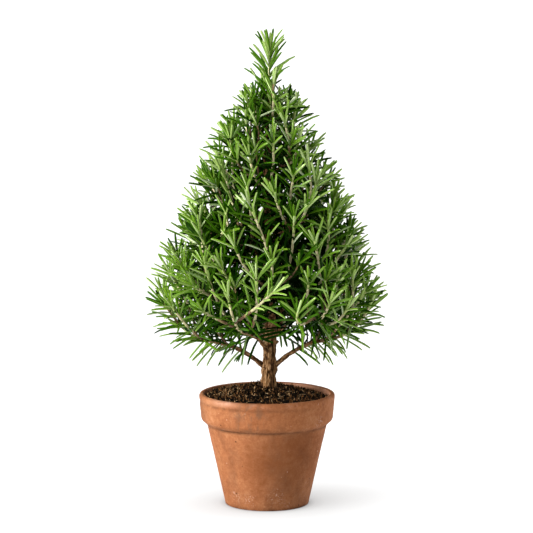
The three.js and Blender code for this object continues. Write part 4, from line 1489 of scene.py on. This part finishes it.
def make_boughs(look):
    """The woody part of every bough, with bark, node rings and a collar where it leaves the trunk."""
    heap = Heap()
    for bough in boughs:
        length = path_length(bough.path, 0, BARK_ENDS_AT)
        shares = np.linspace(0, BARK_ENDS_AT, max(BOUGH_LEAST_RINGS, round(length / BOUGH_RING_STEP)))
        along = shares / BARK_ENDS_AT * length
        collar = BOUGH_COLLAR * np.exp(-np.maximum(along - BOUGH_COLLAR_LENGTH, 0) / BOUGH_COLLAR_FADING)
        radii = stem_radius(bough, shares) * (BOUGH_SLIMMING + collar)
        past_node = (along + BOUGH_NODE_STEP / 3 * chance(bough.key, 4)) % BOUGH_NODE_STEP
        nodes = np.exp(-(((past_node - BOUGH_NODE_STEP / 2) / BOUGH_NODE_WIDTH) ** 2))
        height, turn = np.meshgrid(along / BOUGH_BARK_STEP, turns(BOUGH_SIDES), indexing="ij")
        spots = places_round(1, turn, height) + BOUGH_BARK_SHIFT * bough.key
        relief = bark_relief(spots, BOUGH_BARK_SEED).reshape(turn.shape)
        swell = BOUGH_BARK * bough.radius
        ridge = swell * relief + swell * nodes[:, None]
        heap.add_tube(bough.path, 0, BARK_ENDS_AT, radii, BOUGH_SIDES, ridge=ridge,
                      notes=limb_notes(relief, bough.radius, length))
    return heap.piece("barked_boughs", [look])


# Twigs and needles.


def add_twig(heaps, stem):
    """One stem as a slim tube: brown at its foot, then tan and cream, and green at its tip."""
    spans = TWIG_SPANS.get(stem.kind, SHOOT_SPANS)
    ends = [start for _, start in spans[1:]] + [stem.end]
    for (kind, start), end in zip(spans, ends):
        rings = max(TWIG_LEAST_RINGS, round(path_length(stem.path, start, end) / TWIG_STEP))
        shares = np.linspace(start, end, rings)
        if stem.kind == "bough":
            radii = np.maximum(stem_radius(stem.mass, shares), SHOOT_RADII[1])
        else:
            radii = lerp(*stem.radii, shares)
        radii = radii * (1 + TWIG_SWELLING * (np.arange(rings) % 2))
        heaps[kind].add_tube(stem.path, start, end, radii, TWIG_SIDES)


def make_twigs():
    heaps = {kind: Heap() for kind in TWIG_COLOURS}
    for stem in stems:
        add_twig(heaps, stem)
    pieces = []
    for kind, heap in heaps.items():
        look = plain_look(f"twig_{kind}", TWIG_COLOURS[kind], TWIG_GRAIN, DULL_ROUGHNESS)
        pieces.append(heap.piece(f"twigs_{kind}", [look]))
    return pieces


def needle_piece(name, bed, looks):
    """All needles of one tint as one mesh, with green tops and pale undersides."""
    roots, ways, tops, sizes = (np.array(part) for part in zip(*bed))
    length, width, droop = sizes.T[..., None]
    sides = np.cross(ways, tops)
    along, fullness = np.array(NEEDLE_STATIONS).T
    section_across, section_over = np.array(NEEDLE_SECTION).T
    middles = roots[:, None] + ways[:, None] * (length * along)[..., None]
    middles = middles - tops[:, None] * (length * droop * along**2)[..., None]
    across = (0.5 * width * fullness)[..., None] * section_across
    over = (NEEDLE_THICKNESS * fullness)[:, None] * section_over * (width / NEEDLE_WIDTH)[..., None]
    places = middles[:, :, None] + sides[:, None, None] * across[..., None]
    places = places + tops[:, None, None] * over[..., None]
    rings, corners = len(along), len(section_across)
    walls, foot, tip = (part[:, ::-1] for part in tube_faces(rings, corners))
    start = (np.arange(len(roots)) * rings * corners)[:, None, None]
    under = np.tile((np.arange(corners) >= TOP_FACES).astype(int), rings - 1)
    ends = np.concatenate([foot, tip])
    faces = [(walls[None] + start).reshape(-1, 4), (ends[None] + start).reshape(-1, corners)]
    slots = np.concatenate([np.tile(under, len(roots)), np.zeros(2 * len(roots), int)])
    return make_piece(name, places.reshape(-1, 3), faces, looks, slots, smooth=False)


lit_side = unit(np.array(LIT_SIDE))


def deal_tint(stem, spot, share, chances):
    """The tint of a needle: by how deep in the crown it grows, how far up its spray, and by chance. Depth
    stands for painted shade as well as age, and the top and the lit side are painted lighter.
    """
    depth = min(-past_outline(spot), above_underside(spot) + UNDERSIDE_DEPTH)
    depth += SPRAY_JITTER * swing(stem.key, 3) + chances.uniform(-DEPTH_JITTER, DEPTH_JITTER)
    depth += INNER_DEPTH if stem.inner else 0
    # Painted light at the crown's top and on its lit side.
    depth -= TOP_PAINTED_LIGHT * clip_share((spot[2] - TOP_FROM_Z) / TOP_DEPTH)
    low = clip_share((LIT_BELOW_Z - spot[2]) / LIT_DEPTH) * clip_share(above_underside(spot) / HANGING_DEPTH)
    depth -= LIT_SIDE_PAINTED_LIGHT * low * max(0.0, float(unit(spot * LEVEL) @ lit_side))
    if share > TIP_SHARE and depth < YOUNG_DEPTH and chances.random() < YOUNG_CHANCE:
        return "young"
    if depth < FRESH_DEPTH:
        return "fresh"
    if depth < GROWN_DEPTH:
        return "grey" if chances.random() < GREY_CHANCE else "grown"
    return "old" if depth < OLD_DEPTH else "inner"


def hides_trunk(tip):
    """Whether a needle would hang about the bare foot of the trunk or in front of it."""
    about = tip[2] < BARE_TRUNK_Z and from_axis(tip) < BARE_TRUNK_REACH
    return about or (tip[2] < BARE_FRONT_Z and tip[1] < 0 and abs(tip[0]) < BARE_FRONT_HALF_WIDTH)


def place_needle(stem, beds, share, middle, axes, turn_and_splay, length, droop, chances):
    """One needle, shortened to keep within the crown's outline, or left out."""
    along, side, over = axes
    turn, splay = turn_and_splay
    away = side * math.cos(turn) + over * math.sin(turn)
    angle = splay + chances.uniform(-SPLAY_JITTER, SPLAY_JITTER)
    way = along * math.cos(angle) + away * math.sin(angle)
    limit = chances.uniform(*NEEDLES_PAST_OUTLINE)
    if middle[2] < HANGING_BELOW_Z:
        limit += HANGING_FARTHER
    for fit in NEEDLE_FITS:
        tip = middle + way * length * fit
        if past_outline(tip) < limit and (stem.kind == "leader" or past_shoulder(tip) < 0):
            break
    else:
        return
    if hides_trunk(tip):
        return
    top = unit(along - way * (along @ way))
    roll = chances.uniform(-ROLL_JITTER, ROLL_JITTER)
    top = top * math.cos(roll) + np.cross(way, top) * math.sin(roll)
    width = NEEDLE_WIDTH * chances.uniform(*WIDTH_JITTER)
    tint = deal_tint(stem, middle + way * length * fit * TINT_AT, share, chances)
    beds[tint].append((middle + away * NEEDLE_ROOT, way, top, (length * fit, width, droop)))


def grow_needles(stem, beds, chances):
    """Needles in pairs along a stem, each pair a quarter turn on from the last, and a tuft at its tip."""
    crowding = 1.0 if stem.kind == "bough" else NODE_CROWDING
    nodes = max(LEAST_NODES, round(stem.length / NODE_PITCHES.get(stem.kind, NODE_PITCH)))
    twist = FULL_TURN * chances.random()
    splays = UPRIGHT_SPLAY if stem.kind in ("leader", "crest") else NEEDLE_SPLAY
    threes = LEADER_THREES if stem.kind == "leader" else THREES
    for node in range(nodes):
        share = ((node + NODE_OFFSET) / nodes) ** crowding
        at = lerp(stem.start, stem.end, share)
        axes = across_path(stem.path, at)
        middle = point_on(stem.path, at)
        splay = lerp(*splays, share**SPLAY_CLOSING)
        around = 3 if chances.random() < threes else 2
        for number in range(around):
            turn = twist + node * math.pi / 2 + number * FULL_TURN / around
            turn += chances.uniform(-TURN_JITTER, TURN_JITTER)
            length = NEEDLE_LENGTH * lerp(*LENGTH_ALONG, share**2) * chances.uniform(*LENGTH_JITTER)
            droop = lerp(*DROOP_ALONG, share) + chances.uniform(-DROOP_JITTER, DROOP_JITTER)
            place_needle(stem, beds, share, middle, axes, (turn, splay), length, droop, chances)
        if chances.random() < SMALL_NEEDLES:
            turn = FULL_TURN * chances.random()
            length = NEEDLE_LENGTH * chances.uniform(*SMALL_LENGTH)
            place_needle(stem, beds, share, middle, axes, (turn, splay * SMALL_SPLAY), length, 0.0, chances)
    axes = across_path(stem.path, stem.end)
    tip = point_on(stem.path, stem.end)
    for number in range(TUFT_NEEDLES):
        outer = number / (TUFT_NEEDLES - 1)
        stance = (twist + GOLDEN_TURN * number, math.radians(lerp(*TUFT_SPLAY_DEGREES, outer)))
        length = NEEDLE_LENGTH * lerp(*TUFT_LENGTH, outer) * chances.uniform(*TUFT_JITTER)
        root = tip - axes[0] * TUFT_STEP * number
        place_needle(stem, beds, 1.0, root, axes, stance, length, TUFT_DROOP, chances)


def make_needles():
    chances = np.random.default_rng(SEED)
    beds = {tint: [] for tint in NEEDLE_COLOURS}
    for stem in stems:
        grow_needles(stem, beds, chances)
    pieces = []
    for tint, (top, under, shine, shine_tint) in NEEDLE_COLOURS.items():
        shone = (*shine_tint, 1.0)
        looks = [
            plain_look(f"needle_{tint}", top, NEEDLE_GRAIN, NEEDLE_ROUGHNESS,
                       Specular_IOR_Level=shine, Specular_Tint=shone),
            plain_look(f"needle_{tint}_under", under, NEEDLE_GRAIN, DULL_ROUGHNESS,
                       Specular_IOR_Level=UNDERSIDE_SHINE, Specular_Tint=shone),
        ]
        pieces.append(needle_piece(f"needles_{tint}", beds[tint], looks))
    return pieces


pot = make_pot()
soil = make_soil()
soil_bits = make_crumbs() + [make_fibres()]
bark = bark_look()
trunk = make_trunk(bark)
limbs = make_boughs(bark)
twigs = make_twigs()
needles = make_needles()

foliage_nodes = [f"foliage_{mass.name}" for mass in masses]
bough_nodes = [f"bough_{bough.name}" for bough in bare_boughs]
parts = (
    ([pot], "clay", ["pot"]),
    ([soil] + soil_bits, "soil", ["soil"]),
    ([trunk], "bark", ["trunk"]),
    ([limbs], "bark", bough_nodes),
    (twigs, "bark", foliage_nodes),
    (needles, "needles", foliage_nodes),
)
for pieces, slot, nodes in parts:
    for piece in pieces:
        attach(piece, "root")
        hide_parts(*nodes)

# Studio: a pale glowing floor with a painted contact shadow round the pot, soft light from the upper left, a
# little from above and from behind on the right.

corners = np.array([[-1, -1, 0], [1, -1, 0], [1, 1, 0], [-1, 1, 0]], float) * FLOOR_HALF / MM
studio_floor = make_piece("studio_floor", corners, [np.arange(4)[None]], [floor_look()], smooth=False)


def add_sun(name, towards, strength, spread):
    """A broad soft light that shines from a direction."""
    lamp = bpy.data.lights.new(name, "SUN")
    lamp.energy = strength
    lamp.angle = math.radians(spread)
    x, y, z = towards
    light = add_object(name, lamp)
    light.rotation_euler = (math.atan2(math.hypot(x, y), z), 0.0, math.atan2(y, x) + math.pi / 2)


for name, lamp in LAMPS.items():
    add_sun(name, *lamp)

world = bpy.data.worlds.new("studio")
world.use_nodes = True
backdrop = world.node_tree.nodes["Background"]
backdrop.inputs["Color"].default_value = (1.0, 1.0, 1.0, 1.0)
backdrop.inputs["Strength"].default_value = WORLD_STRENGTH
bpy.context.scene.world = world
bpy.context.scene.view_settings.view_transform = "Standard"

eye = bpy.data.cameras.new("camera")
eye.sensor_width = CAMERA_SENSOR
eye.lens = CAMERA_LENS
eye.clip_end = CAMERA_SIGHT
camera = add_object("camera", eye)
camera.location = CAMERA_PLACE
camera.rotation_euler = CAMERA_TURN
bpy.context.scene.camera = camera
